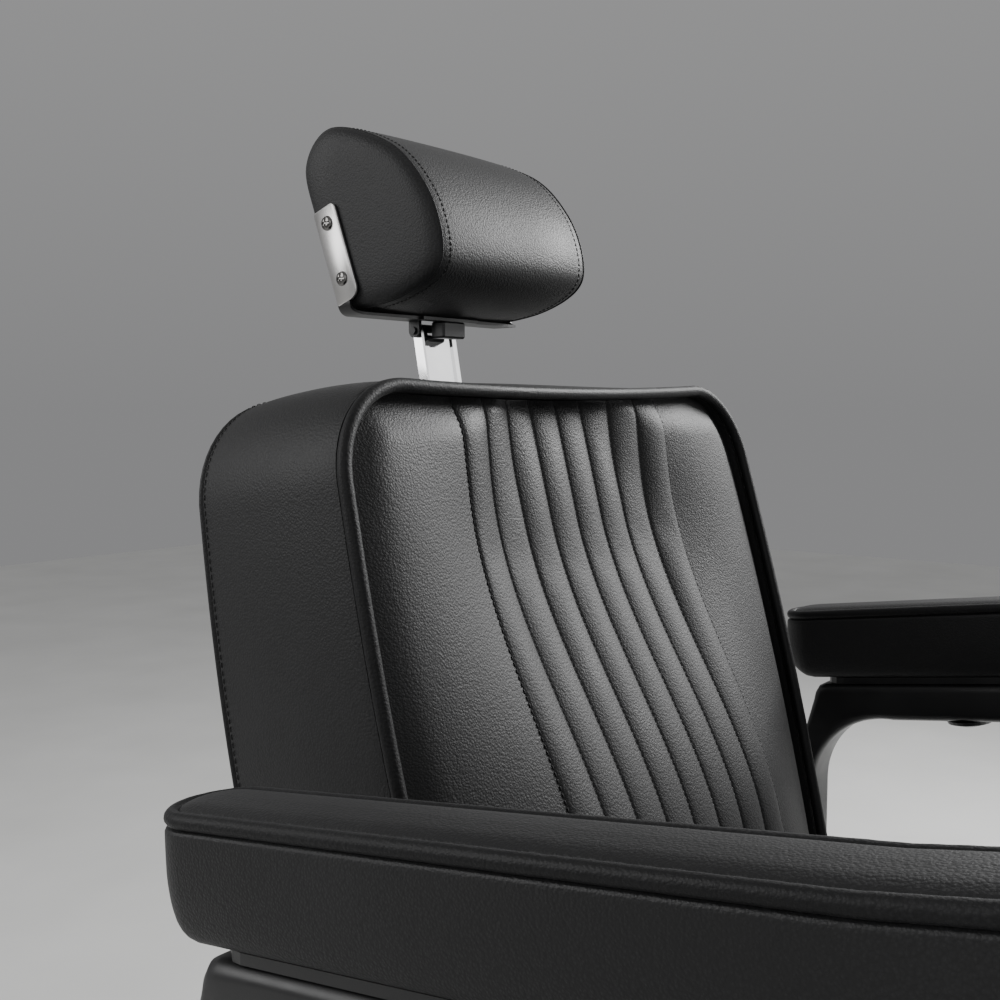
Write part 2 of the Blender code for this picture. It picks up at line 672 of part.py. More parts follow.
def rim_of(grid):
    """The outer loop of a grid of points, in order."""
    loop = list(grid[0]) + [row[-1] for row in grid[1:-1]]
    return loop + list(grid[-1])[::-1] + [row[0] for row in grid[-2:0:-1]]


def pad_solid(grid, rings):
    """A padded form: a grid for its face, then rings down its sides to a flat back."""
    bm = bmesh.new()
    made = [[bm.verts.new(point) for point in row] for row in grid]
    for lower, upper in zip(made, made[1:]):
        for k in range(len(lower) - 1):
            bm.faces.new((lower[k], lower[k + 1], upper[k + 1], upper[k]))
    loop = rim_of(made)
    count = len(loop)
    for ring in rings:
        after = [bm.verts.new(point) for point in ring]
        for k in range(count):
            bm.faces.new((loop[k], after[k], after[(k + 1) % count], loop[(k + 1) % count]))
        loop = after
    bm.faces.new(loop)
    return bm


def seat_top(y):
    """Height of the seat's piping at a depth."""
    return CUSHION_Z + SEAT_WELT_HEIGHT + (SEAT_REAR_Y - y) * math.tan(SEAT_PITCH)


def make_seat():
    """Board, channelled cushion and piping."""
    tuck = WELT_RADIUS + 0.001
    inset = WELT_RADIUS + 0.001
    grid = []
    for y in seat_rows(inset):
        edge = seat_edge_x(y, inset)
        end = min(y - SEAT_FRONT_Y - inset, SEAT_REAR_Y - inset - y)
        ease_y = smooth_step(end / 0.055)
        row = []
        for x in row_columns(edge, 3):
            ease_x = smooth_step((edge - abs(x)) / 0.070)
            crown = SEAT_CROWN * ease_x * ease_y
            puff = channel_puff(x) * smooth_step(end / 0.012)
            rim = tuck * (1.0 - smooth_step(min(edge - abs(x), end) / 0.006))
            row.append((x, y, seat_top(y) - rim + crown + puff))
        grid.append(row)
    rim = rim_of(grid)

    def drawn(share, draw):
        middle = (SEAT_FRONT_Y + SEAT_REAR_Y) / 2
        scale_x = 1.0 - draw / (SEAT_WIDTH / 2)
        scale_y = 1.0 - draw / (SEAT_REAR_Y - SEAT_FRONT_Y) * 2
        return [(x * scale_x, middle + (y - middle) * scale_y, mix(seat_top(y) - tuck, CUSHION_Z, share))
                for x, y, z in rim]

    grow = -WELT_RADIUS * 0.9
    rings = [drawn(0.10, grow), drawn(0.40, SEAT_DRAW_IN * 0.5), drawn(0.75, SEAT_DRAW_IN * 0.3),
             drawn(1.0, SEAT_DRAW_IN)]
    add("seat_cushion", pad_solid(grid, rings), "leather", swivel, 60)

    line = []
    for y in seat_rows(SEAT_WELT_INSET):
        line.append((seat_edge_x(y, SEAT_WELT_INSET), y, seat_top(y)))
    spread = []
    for x, y, z in (line[-1], line[0]):
        spread.append([(mix(x, -x, k / 6), y, z) for k in range(1, 6)])
    rear, front = spread
    loop = line + rear + [(-x, y, z) for x, y, z in line[::-1]] + [(-x, y, z) for x, y, z in front]
    piping("seat_welt", loop, WELT_RADIUS, "leather", swivel)

    board = SEAT_BOARD_INSET
    outline = [(seat_edge_x(y, board), y) for y in seat_rows(board)]
    outline = outline + [(-x, y) for x, y in outline[::-1]]
    add("seat_board", loft([[(x, y, BOARD_Z) for x, y in outline],
                            [(x, y, BOARD_Z + SEAT_BOARD_THICK) for x, y in outline]]), "plywood", swivel)


make_ram()
make_frame()
make_seat()


# Arms: padded top on a board, on an open cast loop

def arm_top(y):
    """Height of the arm pad's top edge."""
    return ARM_TOP - ARM_RISE * y + ARM_KINK_RISE * max(ARM_KINK_Y - y, 0.0)


def arm_plan(inset, rear_end):
    """Plan of the arm pad: straight sides with round ends, as (x from its middle, y)."""
    r = ARM_WIDTH / 2 - inset
    rear = rear_end - ARM_WIDTH / 2
    front = ARM_FRONT_Y + ARM_WIDTH / 2
    side = [mix(front, rear, k / 6) for k in range(1, 6)] + [ARM_KINK_Y]
    side = sorted(side)
    ends = arc((0, rear), r, 0, 180, 2 * ARM_TIP)
    nose = arc((0, front), r, 180, 360, 2 * ARM_TIP)
    return ends + [(-r, y) for y in side[::-1]] + nose + [(r, y) for y in side]


def arm_ring(sign, inset, drop, lift=0.0, rear_end=ARM_REAR_Y):
    """One ring of the pad at a depth below its top edge, lifted towards its rear end."""
    ring = []
    for x, y in arm_plan(inset, rear_end):
        rise = lift * smooth_step((y - rear_end + ARM_LIFT_REACH) / ARM_LIFT_REACH)
        ring.append((sign * ARM_MID_X + x, y, arm_top(y) - drop + rise))
    return ring


def arm_loop(points_out, points_in, low_x, high_x):
    """A loop of bar with bevelled edges between an outer and an inner outline."""
    def between(out, inn, share):
        return [(mix(a[0], b[0], share), mix(a[1], b[1], share)) for a, b in zip(out, inn)]
    e = ARM_EDGE
    near = ARM_EDGE_SHARE
    rings = []
    for x, share in ((low_x, near), (low_x + e, 0.0), (high_x - e, 0.0), (high_x, near),
                     (high_x, 1 - near), (high_x - e, 1.0), (low_x + e, 1.0), (low_x, 1 - near)):
        rings.append([(x, y, z) for y, z in between(points_out, points_in, share)])
    return loft(rings, wrap=True)


def arm_outlines():
    """Outer and inner (y, z) outlines of the arm loop, with matching points."""
    beam_drop = ARM_PAD_THICK + ARM_BOARD_THICK + 2 * GAP
    sill_low = RAIL_Z
    sill_high = RAIL_Z + ARM_SILL_DEPTH
    rear_out = ARM_COLUMN_REAR_Y
    rear_in = rear_out - ARM_REAR_DEPTH
    front_out = ARM_SILL_FRONT_Y
    front_in = front_out + ARM_COLUMN_DEPTH
    r = ARM_ARCH_RADIUS
    f = ARM_FOOT_RADIUS

    def beam_top(y):
        return arm_top(y) - beam_drop

    def beam_low(y):
        return beam_top(y) - ARM_BEAM_DEPTH

    inner = arc((rear_in - r, beam_low(rear_in - r) - r), r, 0, 90)
    inner += [(0.0, beam_low(0.0))]
    inner += arc((front_in + r, beam_low(front_in + r) - r), r, 90, 180)
    inner += arc((front_in + f, sill_high + f), f, 180, 270, 3)
    inner += arc((rear_in - f, sill_high + f), f, 270, 360, 3)
    edge = ARM_SHOULDER_EDGE
    shoulder = ARM_SHOULDER_Y
    spring_z = beam_low(rear_in - r) - r
    shoulder_z = beam_top(shoulder) - edge
    outer = []
    for k in range(4):
        z = mix(spring_z, shoulder_z, k / 3)
        outer.append((min(shoulder + (shoulder_z - z) * ARM_COLUMN_LEAN, rear_out), z))
    outer += [(shoulder - edge, beam_top(shoulder - edge)), (rear_in - r, beam_top(rear_in - r))]
    outer += [(0.0, beam_top(0.0))]
    nose = front_out
    outer += [(ARM_KINK_Y, beam_top(ARM_KINK_Y)), (nose + edge, beam_top(nose + edge)),
              (nose, beam_top(nose) - edge)]
    outer += [(nose, mix(beam_top(nose) - edge, beam_low(front_in) - r, k / 3)) for k in range(1, 4)]
    outer += [(nose, sill_low + 0.020), (nose + 0.006, sill_low + 0.006), (nose + 0.020, sill_low),
              (front_in + f, sill_low)]
    outer += [(rear_in - f, sill_low), (rear_out - 0.020, sill_low), (rear_out - 0.006, sill_low + 0.006),
              (rear_out, sill_low + 0.020)]
    return outer, inner


def make_arm(side, sign):
    """Pad, piping, board, loop and cap of one arm."""
    t = ARM_PAD_THICK
    w = ARM_WELT_RADIUS
    seam = w * 2 + GAP * 2
    wall = w * 2 + GAP * 2
    lift = ARM_REAR_LIFT
    sections = ((ARM_TAPER, t, lift), (ARM_TAPER * 0.5, t - 0.008, lift * 0.8),
                (ARM_TAPER * 0.15, t * 0.5, lift * 0.2), (0.001, seam + 0.004, 0), (w * 0.5, seam, 0),
                (wall, seam, 0), (wall, w, 0),
                (wall + 0.003, 0.0006, 0), (ARM_WIDTH * 0.30, -ARM_CROWN * 0.8, 0),
                (ARM_WIDTH * 0.42, -ARM_CROWN, 0))
    rings = [arm_ring(sign, *section) for section in sections]
    add("arm_pad_" + side, loft(rings, tip=ARM_TIP), "leather", swivel, 60)
    piping("arm_welt_" + side, arm_ring(sign, w, w), w, "leather", swivel)
    inset = (ARM_WIDTH - ARM_FRAME_WIDTH) / 2 + ARM_BOARD_SET_IN
    board = [arm_ring(sign, inset, t + GAP + drop, 0.0, ARM_SHOULDER_Y) for drop in (ARM_BOARD_THICK, 0.0)]
    add("arm_board_" + side, loft(board, tip=ARM_TIP), "black_wood", swivel)
    low = sign * ARM_MID_X - ARM_FRAME_WIDTH / 2
    outer, inner = arm_outlines()
    frame = add("arm_frame_" + side, arm_loop(outer, inner, low, low + ARM_FRAME_WIDTH), "black_alloy",
                swivel)
    outside = sign * (ARM_MID_X + ARM_FRAME_WIDTH / 2)
    for y in (ARM_BAR_FRONT_Y + ARM_COLUMN_DEPTH / 2, ARM_BAR_REAR_Y):
        spot = Vector((outside, y, RAIL_Z + RAIL_HEIGHT / 2))
        weld(frame, bolt_head(spot, (sign, 0, 0), ARM_BOLT_RADIUS))
    y = CAP_Y
    low_z = arm_top(y) - ARM_PAD_THICK - ARM_BOARD_THICK - 2 * GAP - ARM_BEAM_DEPTH
    cap = turned([(0, 0), (CAP_RADIUS, 0), (CAP_RADIUS * 0.93, CAP_HEIGHT * 0.55),
                  (CAP_RADIUS * 0.5, CAP_HEIGHT), (0, CAP_HEIGHT)], 24)
    tilt = Vector((0, -ARM_RISE, -1)).normalized()
    add("arm_cap_" + side, moved(cap, along(Vector((sign * ARM_MID_X, y, low_z)) + tilt * GAP * 2, tilt)),
        "plastic", swivel)


for side_name, side_sign in mirrored(("left", "right")):
    make_arm(side_name, side_sign)


# Backrest: board, channelled cushion, boxing band, rear panel, piping and steel arms

def back_front_y(z):
    """Depth of the front piping at a height."""
    return BACK_FRONT_TOP_Y - (BACK_TOP - z) * math.tan(BACK_FRONT_LEAN)


def back_rear_y(z):
    """Depth of the rear seam at a height."""
    return BACK_REAR_TOP_Y - (BACK_TOP - z) * math.tan(BACK_REAR_LEAN)


def back_half_width(z):
    """Half width of the back at a height."""
    share = min(max((BACK_TOP - z) / (BACK_TOP - BACK_BOTTOM), 0.0), 1.0)
    bow = BACK_SIDE_BOW * math.sin(math.pi * share)
    return BACK_TOP_WIDTH / 2 + (BACK_TOP - z) * BACK_FLARE + bow


def back_side(depth, inset):
    """Left edge of the back, bottom to top, as (x, z), at a depth from 0 (front) to 1 (rear)."""
    top = BACK_TOP - BACK_REAR_SHOULDER * depth - inset
    bottom = BACK_BOTTOM + inset
    high_r = max(mix(BACK_FRONT_CORNER, BACK_REAR_CORNER, depth) - inset, 0.004)
    low_r = max(BACK_FOOT_CORNER - inset, 0.004)
    low_z = bottom + low_r
    high_z = top - high_r
    inset = inset + BACK_REAR_TAPER * depth
    points = arc((back_half_width(low_z) - inset - low_r, low_z), low_r, -90, 0, 3)
    for k in range(1, 9):
        z = mix(low_z, high_z, k / 9)
        points.append((back_half_width(z) - inset, z))
    return points + arc((back_half_width(high_z) - inset - high_r, high_z), high_r, 0, 90)


def back_top_z(x, depth, inset):
    """Height of the top edge, dipped at the front and crowned at the rear."""
    end_x, end_z = back_side(depth, inset)[-1]
    bow = mix(-BACK_TOP_DIP, BACK_REAR_CROWN, depth)
    return end_z + bow * (1.0 - min(abs(x) / end_x, 1.0) ** 2)


def back_loop(depth, inset, shift=0.0, spans=8):
    """Closed loop round the back at a depth, pushed back by a shift."""
    side = back_side(depth, inset)
    top_x = side[-1][0]
    low_x, low_z = side[0]
    upper = [mix(top_x, -top_x, k / spans) for k in range(1, spans)]
    lower = [mix(-low_x, low_x, k / spans) for k in range(1, spans)]
    flat = list(side) + [(x, back_top_z(x, depth, inset)) for x in upper]
    flat += [(-x, z) for x, z in side[::-1]] + [(x, low_z) for x in lower]
    return [(x, mix(back_front_y(z), back_rear_y(z), depth) + shift, z) for x, z in flat]


def back_recess(x, z, edge):
    """How far the padded face lies behind the piping plane (negative in front of it)."""
    rise = smooth_step((z - LUMBAR_LOW_Z) / (LUMBAR_HIGH_Z - LUMBAR_LOW_Z))
    foot = smooth_step((z - BACK_BOTTOM) / BACK_FOOT_FADE)
    middle = mix(-BACK_LUMBAR * foot, BACK_HOLLOW, rise)
    start = BACK_FLAT_HALF * mix(0.25, 1.0, smooth_step((BACK_TOP - z) / BACK_TOP_FADE))
    share = min(max((abs(x) - start) / max(edge - start, 0.001), 0.0), 1.0)
    return middle * 0.5 * (1 + math.cos(math.pi * share)) - BACK_MARGIN_CROWN * math.sin(math.pi * share) ** 2


def back_rows(depth, inset):
    """Rows of (x, z) places across the back at a depth, bottom to top."""
    side = back_side(depth, inset)
    last = len(side) - 1
    rows = []
    for k, (edge, z_edge) in enumerate(side):
        near_top = smooth_step((k - last + 3) / 3)
        rows.append([(x, z_edge + (back_top_z(x, depth, inset) - side[-1][1]) * near_top)
                     for x in row_columns(edge, 3)])
    return rows


def back_cushion_grid(inset):
    """Front face of the back cushion, with its channels."""
    rows = back_rows(0.0, inset)
    low_z, high_z = rows[0][0][1], rows[-1][0][1]
    grid = []
    for places in rows:
        edge, z_edge = places[-1]
        ends = min(z_edge - low_z, high_z - z_edge)
        inside = smooth_step(ends / 0.010)
        row = []
        for x, z in places:
            recess = back_recess(x, z, edge)
            near_rim = 1.0 - smooth_step(min(edge - abs(x), ends) / BACK_RIM_REACH)
            rim = max(BACK_RIM_TUCK - recess, 0.0) * near_rim
            puff = channel_puff(x) * mix(0.4, 1.0, inside)
            row.append((x, back_front_y(z) + recess + rim - puff, z))
        grid.append(row)
    return grid


def make_back():
    """Everything upholstered on the back, and the board inside it."""
    inner = BOXING_WALL + CUSHION_FIT
    board_rear = BACK_BOARD_DEPTH
    board_front = board_rear + BACK_BOARD_THICK
    grid = back_cushion_grid(inner)
    depth = 1.0 - board_front / (BACK_REAR_TOP_Y - BACK_FRONT_TOP_Y)
    flat_back = [(x, back_rear_y(z) - board_front - GAP, z)
                 for x, z in rim_of(back_rows(depth, inner + BOARD_FIT))]
    add("back_cushion", pad_solid(grid, [flat_back]), "leather", recline, 60)

    front_gap = WELT_RADIUS + 0.0003
    wall = BOXING_WALL
    swell = -BOXING_SWELL
    boxing = add("back_boxing", loft([
        back_loop(0.0, 0.0, front_gap), back_loop(0.35, swell), back_loop(0.7, swell),
        back_loop(1.0, 0.0, -GAP), back_loop(1.0, wall, -GAP), back_loop(0.5, wall),
        back_loop(0.0, wall, front_gap)], wrap=True), "leather", recline, 60)
    piping("back_welt", back_loop(0.0, 0.0022, 0.0, 12), WELT_RADIUS, "leather", recline)

    roll, bulge = REAR_PANEL_ROLL, REAR_PANEL_BULGE
    rows = ((0.0, 0.0), (0.0, roll * 0.4), (roll * 0.4, roll * 0.85), (roll, roll), (roll * 5, bulge * 0.72),
            (roll * 11, bulge * 0.94), (roll * 17, bulge))
    rings = [back_loop(1.0, inset, shift) for inset, shift in rows]
    add("back_rear_panel", loft(rings), "leather", recline, 60)

    outline = back_loop(depth, inner + BOARD_FIT)
    rear = [(x, back_rear_y(z) - board_rear, z) for x, y, z in outline]
    front = [(x, back_rear_y(z) - board_front, z) for x, y, z in outline]
    add("back_board", loft([front, rear]), "plywood", recline)
    make_back_arms(boxing)


def eye(centre, radius, start, end):
    """Round end of a flat steel arm."""
    return arc(centre, radius, start, end, 10)


def make_back_arms(boxing):
    """Welded steel arms that carry the back on its hinge, and the slotted lock lug."""
    face = -BACK_BOARD_DEPTH + GAP

    def strip(z, extra):
        return (back_rear_y(z) + face + extra, z)

    low_z = BACK_BOTTOM - 0.002
    hinge = (HINGE_Y, HINGE_Z)
    upper = [strip(low_z, 0.0), strip(BACK_ARM_TOP, 0.0), strip(BACK_ARM_TOP, BACK_ARM_DEPTH),
             strip(low_z, BACK_ARM_DEPTH)]
    half = BACK_ARM_THICK / 2
    plain = [(HINGE_Y - 0.004, HINGE_Z + HINGE_EYE_RADIUS)] + upper + eye(hinge, HINGE_EYE_RADIUS, 10, -240)
    lug_end = (LOCK_PIN_Y, LOCK_Z)
    lug_r = LOCK_PIN_RADIUS + 0.009
    swing = math.degrees(RECLINE_ANGLE / 2)
    lug = [(HINGE_Y - 0.004, HINGE_Z + HINGE_EYE_RADIUS)] + upper
    lug += [(HINGE_Y + HINGE_EYE_RADIUS, HINGE_Z)]
    lug += arc(lug_end, lug_r, swing, swing - 180, 8)
    lug += eye(hinge, HINGE_EYE_RADIUS, swing - 180 - 10, -240)
    arms = add("back_frame", prism(plain, BACK_ARM_X - half, BACK_ARM_X + half), "black_steel", recline)
    weld(arms, prism(lug, -BACK_ARM_X - half, -BACK_ARM_X + half))
    brace_low = BACK_BRACE_Z - BACK_BRACE_HEIGHT / 2
    brace_high = BACK_BRACE_Z + BACK_BRACE_HEIGHT / 2
    sunk = 0.001
    thick = 0.006
    brace = [strip(brace_low, sunk), strip(brace_high, sunk), strip(brace_high, thick),
             strip(brace_low, thick)]
    weld(arms, prism(brace, -BACK_ARM_X, BACK_ARM_X))
    bush = HINGE_PIN_RADIUS + RUN_GAP + HINGE_BUSH_WALL + GAP
    cut(arms, rod((-0.3, *hinge), (0.3, *hinge), bush, 20))

    along_lug = Vector((0, lug_end[0] - HINGE_Y, lug_end[1] - HINGE_Z)).normalized()
    across = Vector((0, -along_lug.z, along_lug.y))
    short = LOCK_ARM * math.cos(RECLINE_ANGLE / 2)
    wide = LOCK_PIN_RADIUS + LOCK_SLOT_PLAY
    ends = []
    for distance in (short - wide, LOCK_ARM + wide):
        ends.append(Vector((0, *hinge)) + along_lug * distance)
    slot = [ends[0] - across * wide, ends[1] - across * wide, ends[1] + across * wide,
            ends[0] + across * wide]
    cut(arms, prism([(p.y, p.z) for p in slot], -BACK_ARM_X - 0.02, -BACK_ARM_X + 0.02))

    for sign in (1, -1):
        gap = 0.001
        low = strip(BACK_BOTTOM, -gap)[0]
        cut(boxing, block((sign * BACK_ARM_X - half - gap, low - 0.01, BACK_BOTTOM - 0.02),
                          (sign * BACK_ARM_X + half + gap, low + BACK_ARM_DEPTH + 0.004, BACK_BOTTOM + 0.03)))


def make_hinge():
    """Brackets on the seat rails, with pins and bushes for the back arms."""
    hinge = (HINGE_Y, HINGE_Z)
    inside = BACK_ARM_X + BACK_ARM_THICK / 2 + RUN_GAP
    outside = inside + HINGE_BRACKET_THICK
    outline = [(ARM_BAR_REAR_Y + RAIL_WIDTH / 2 + 0.002, RAIL_Z), (RAIL_REAR_Y, RAIL_Z)]
    outline += eye(hinge, HINGE_EYE_RADIUS, -40, 140)
    outline += [(ARM_BAR_REAR_Y + RAIL_WIDTH / 2 + 0.002, RAIL_Z + RAIL_HEIGHT)]
    pin = HINGE_PIN_RADIUS
    for side, sign in mirrored(("left", "right")):
        low, high = sorted((sign * inside, sign * outside))
        bracket = add("hinge_bracket_" + side, prism(outline, low, high), "black_steel", swivel)
        cut(bracket, rod((low - 0.01, *hinge), (high + 0.01, *hinge), pin + GAP, 20))
        start = sign * (BACK_ARM_X - BACK_ARM_THICK / 2 - 0.004)
        head = sign * (outside + 0.005)
        add("hinge_pin_" + side, rod((start, *hinge), (head, *hinge), pin, 20), "zinc_steel", swivel)
        half = BACK_ARM_THICK / 2
        ring = turned([(pin + RUN_GAP, -half), (pin + RUN_GAP + HINGE_BUSH_WALL, -half),
                       (pin + RUN_GAP + HINGE_BUSH_WALL, half), (pin + RUN_GAP, half)], 20, closed=True)
        add("hinge_bush_" + side, moved(ring, along((sign * BACK_ARM_X, *hinge), (1, 0, 0))), "bronze",
            recline)


make_back()
make_hinge()


# Recline lock: slotted lug, gas-locked cylinder and hand lever

def make_lock():
    """Lock cylinder under the seat, its rod, clevis and release lever."""
    mouth = LOCK_PIN_Y - LOCK_REACH
    tail = mouth - LOCK_LENGTH
    r = LOCK_RADIUS
    bore = LOCK_ROD_RADIUS + RUN_GAP
    barrel = turned([(0, 0), (r - 0.002, 0), (r, 0.002), (r, LOCK_LENGTH - 0.004),
                     (r - 0.004, LOCK_LENGTH), (bore, LOCK_LENGTH), (bore, 0.025), (0, 0.025)], 20)
    cylinder = add("lock_cylinder", moved(barrel, along((LOCK_X, tail, LOCK_Z), (0, 1, 0))),
                   "black_steel", swivel)
    pin_y = ARM_BAR_FRONT_Y
    tongue = 0.006
    weld(cylinder, block((LOCK_X - tongue, pin_y - 0.010, LOCK_Z - 0.009),
                         (LOCK_X + tongue, tail + 0.004, LOCK_Z + 0.009), 0.001))
    low = LOCK_Z - 0.014
    clevis = add("lock_clevis", block((LOCK_X - tongue - 0.006, pin_y - 0.014, low),
                                      (LOCK_X + tongue + 0.006, pin_y + 0.014, RAIL_Z - GAP), 0.001),
                 "black_steel", swivel)
    cut(clevis, block((LOCK_X - tongue - RUN_GAP, pin_y - 0.02, low - 0.01),
                      (LOCK_X + tongue + RUN_GAP, pin_y + 0.02, LOCK_Z + 0.0095)))
    for target, room in ((clevis, GAP), (cylinder, GAP)):
        cut(target, rod((LOCK_X - 0.03, pin_y, LOCK_Z), (LOCK_X + 0.03, pin_y, LOCK_Z),
                        LOCK_PIN_RADIUS + room, 12))
    side = tongue + 0.008
    add("lock_pin", rod((LOCK_X - side, pin_y, LOCK_Z), (LOCK_X + side, pin_y, LOCK_Z), LOCK_PIN_RADIUS, 12),
        "zinc_steel", swivel)

    foot = tail + LOCK_LENGTH - LOCK_INSIDE
    shaft = add("lock_rod", rod((LOCK_X, foot, LOCK_Z), (LOCK_X, LOCK_PIN_Y, LOCK_Z), LOCK_ROD_RADIUS, 16),
                "chrome", lock)
    weld(shaft, block((LOCK_X - 0.007, LOCK_PIN_Y - 0.010, LOCK_Z - 0.009),
                      (LOCK_X + 0.007, LOCK_PIN_Y + 0.009, LOCK_Z + 0.009), 0.001))
    tip = -BACK_ARM_X - BACK_ARM_THICK / 2 - 0.003
    weld(shaft, rod((LOCK_X, LOCK_PIN_Y, LOCK_Z), (tip, LOCK_PIN_Y, LOCK_Z), LOCK_PIN_RADIUS, 12))

    start = lever_axis["world"]
    out = Vector((-LEVER_OUT_X, start.y, start.z))
    end = out + LEVER_LENGTH * Vector((0, -math.cos(LEVER_DROP), -math.sin(LEVER_DROP)))
    corner = 0.012
    route = [start - Vector((GAP, 0, 0)), out + Vector((corner, 0, 0)),
             out + (end - out).normalized() * corner, out + (end - out) * 0.5, end]
    piping("recline_lever", smooth_path([tuple(p) for p in route], 4), LEVER_RADIUS, "chrome", lever_axis,
           cyclic=False)
    k = KNOB_RADIUS
    knob = turned([(0, GAP), (k * 0.55, GAP), (k * 0.75, k * 0.4), (k, k * 1.4), (k * 0.95, k * 2.0),
                   (k * 0.6, k * 2.5), (0, k * 2.7)], 16)
    add("lever_knob", moved(knob, along(end, end - out)), "plastic", lever_axis)


# Headrest: sliding post, tilting bracket and pad

def post_point(z):
    """Middle of the post at a height."""
    return Vector((0, back_rear_y(z) - POST_BEHIND, z))


post_lean = Vector((0, math.sin(BACK_REAR_LEAN), math.cos(BACK_REAR_LEAN)))
tilt_pin = post_point(TILT_PIN_Z)
post_slide = pivot("post_pivot", post_point(RECEIVER_TOP), recline)
tilt = pivot("tilt_pivot", tilt_pin, post_slide)


def post_section(width, thick, flute):
    """Section of the post across its length, with a shallow flute down its front."""
    a, b = width / 2, thick / 2
    c = min(0.0012, b * 0.3)
    if not flute:
        return [(a, -b), (a, b), (-a, b), (-a, -b)]
    f = a * 0.62
    return [(a, -b + c), (a, b - c), (a - c, b), (-a + c, b), (-a, b - c), (-a, -b + c), (-a + c, -b),
            (-f - flute, -b), (-f, -b + flute), (f, -b + flute), (f + flute, -b), (a - c, -b)]


def post_length(section, low, high):
    """A section run along the post between two distances from the tilt pin."""
    across = Vector((0, math.cos(BACK_REAR_LEAN), -math.sin(BACK_REAR_LEAN)))
    rings = []
    for distance in (low, high):
        middle = tilt_pin + post_lean * distance
        rings.append([middle + Vector((1, 0, 0)) * a + across * b for a, b in section])
    return loft(rings)


def make_post():
    """Fluted post, the receiver it slides in and the slot in the boxing."""
    section = post_section(POST_WIDTH, POST_THICK, POST_FLUTE)
    post = add("headrest_post", post_length(section, -POST_BELOW, 0.0), "chrome", post_slide)
    a = POST_WIDTH / 2
    weld(post, rod(tilt_pin - Vector((a - 0.0005, 0, 0)), tilt_pin + Vector((a - 0.0005, 0, 0)),
                   POST_THICK / 2, 20))
    cut(post, rod(tilt_pin - Vector((0.1, 0, 0)), tilt_pin + Vector((0.1, 0, 0)), TILT_PIN_RADIUS + GAP, 12))
    room = 2 * RUN_GAP
    inside = post_section(POST_WIDTH + room, POST_THICK + room, 0)
    wall = 2 * RECEIVER_WALL + room
    outside = post_section(POST_WIDTH + wall, POST_THICK + wall, 0)
    top = (RECEIVER_TOP - TILT_PIN_Z) / math.cos(BACK_REAR_LEAN)
    receiver = add("post_receiver", post_length(outside, top - RECEIVER_LENGTH, top), "zinc_steel", recline)
    cut(receiver, post_length(inside, top - RECEIVER_LENGTH - 0.01, top + 0.01))
    slot = post_section(POST_WIDTH + 0.002, POST_THICK + 0.002, 0)
    cut(bpy.data.objects["back_boxing"], post_length(slot, top + 0.004, -0.020))


def head_profile(scale):
    """Side view of the headrest: flat leaning rear, round top, full nose and flat foot."""
    y, z = tilt_pin.y, tilt_pin.z
    chosen = [(y * HEAD_TALL, z * HEAD_TALL) for y, z in HEAD_OUTLINE]
    path = smooth_path([(y + a, z + b) for a, b in chosen], 3, cyclic=True)
    middle = (y - 0.016, z + 0.078)
    return [(mix(middle[0], a, scale), mix(middle[1], b, scale)) for a, b in path]


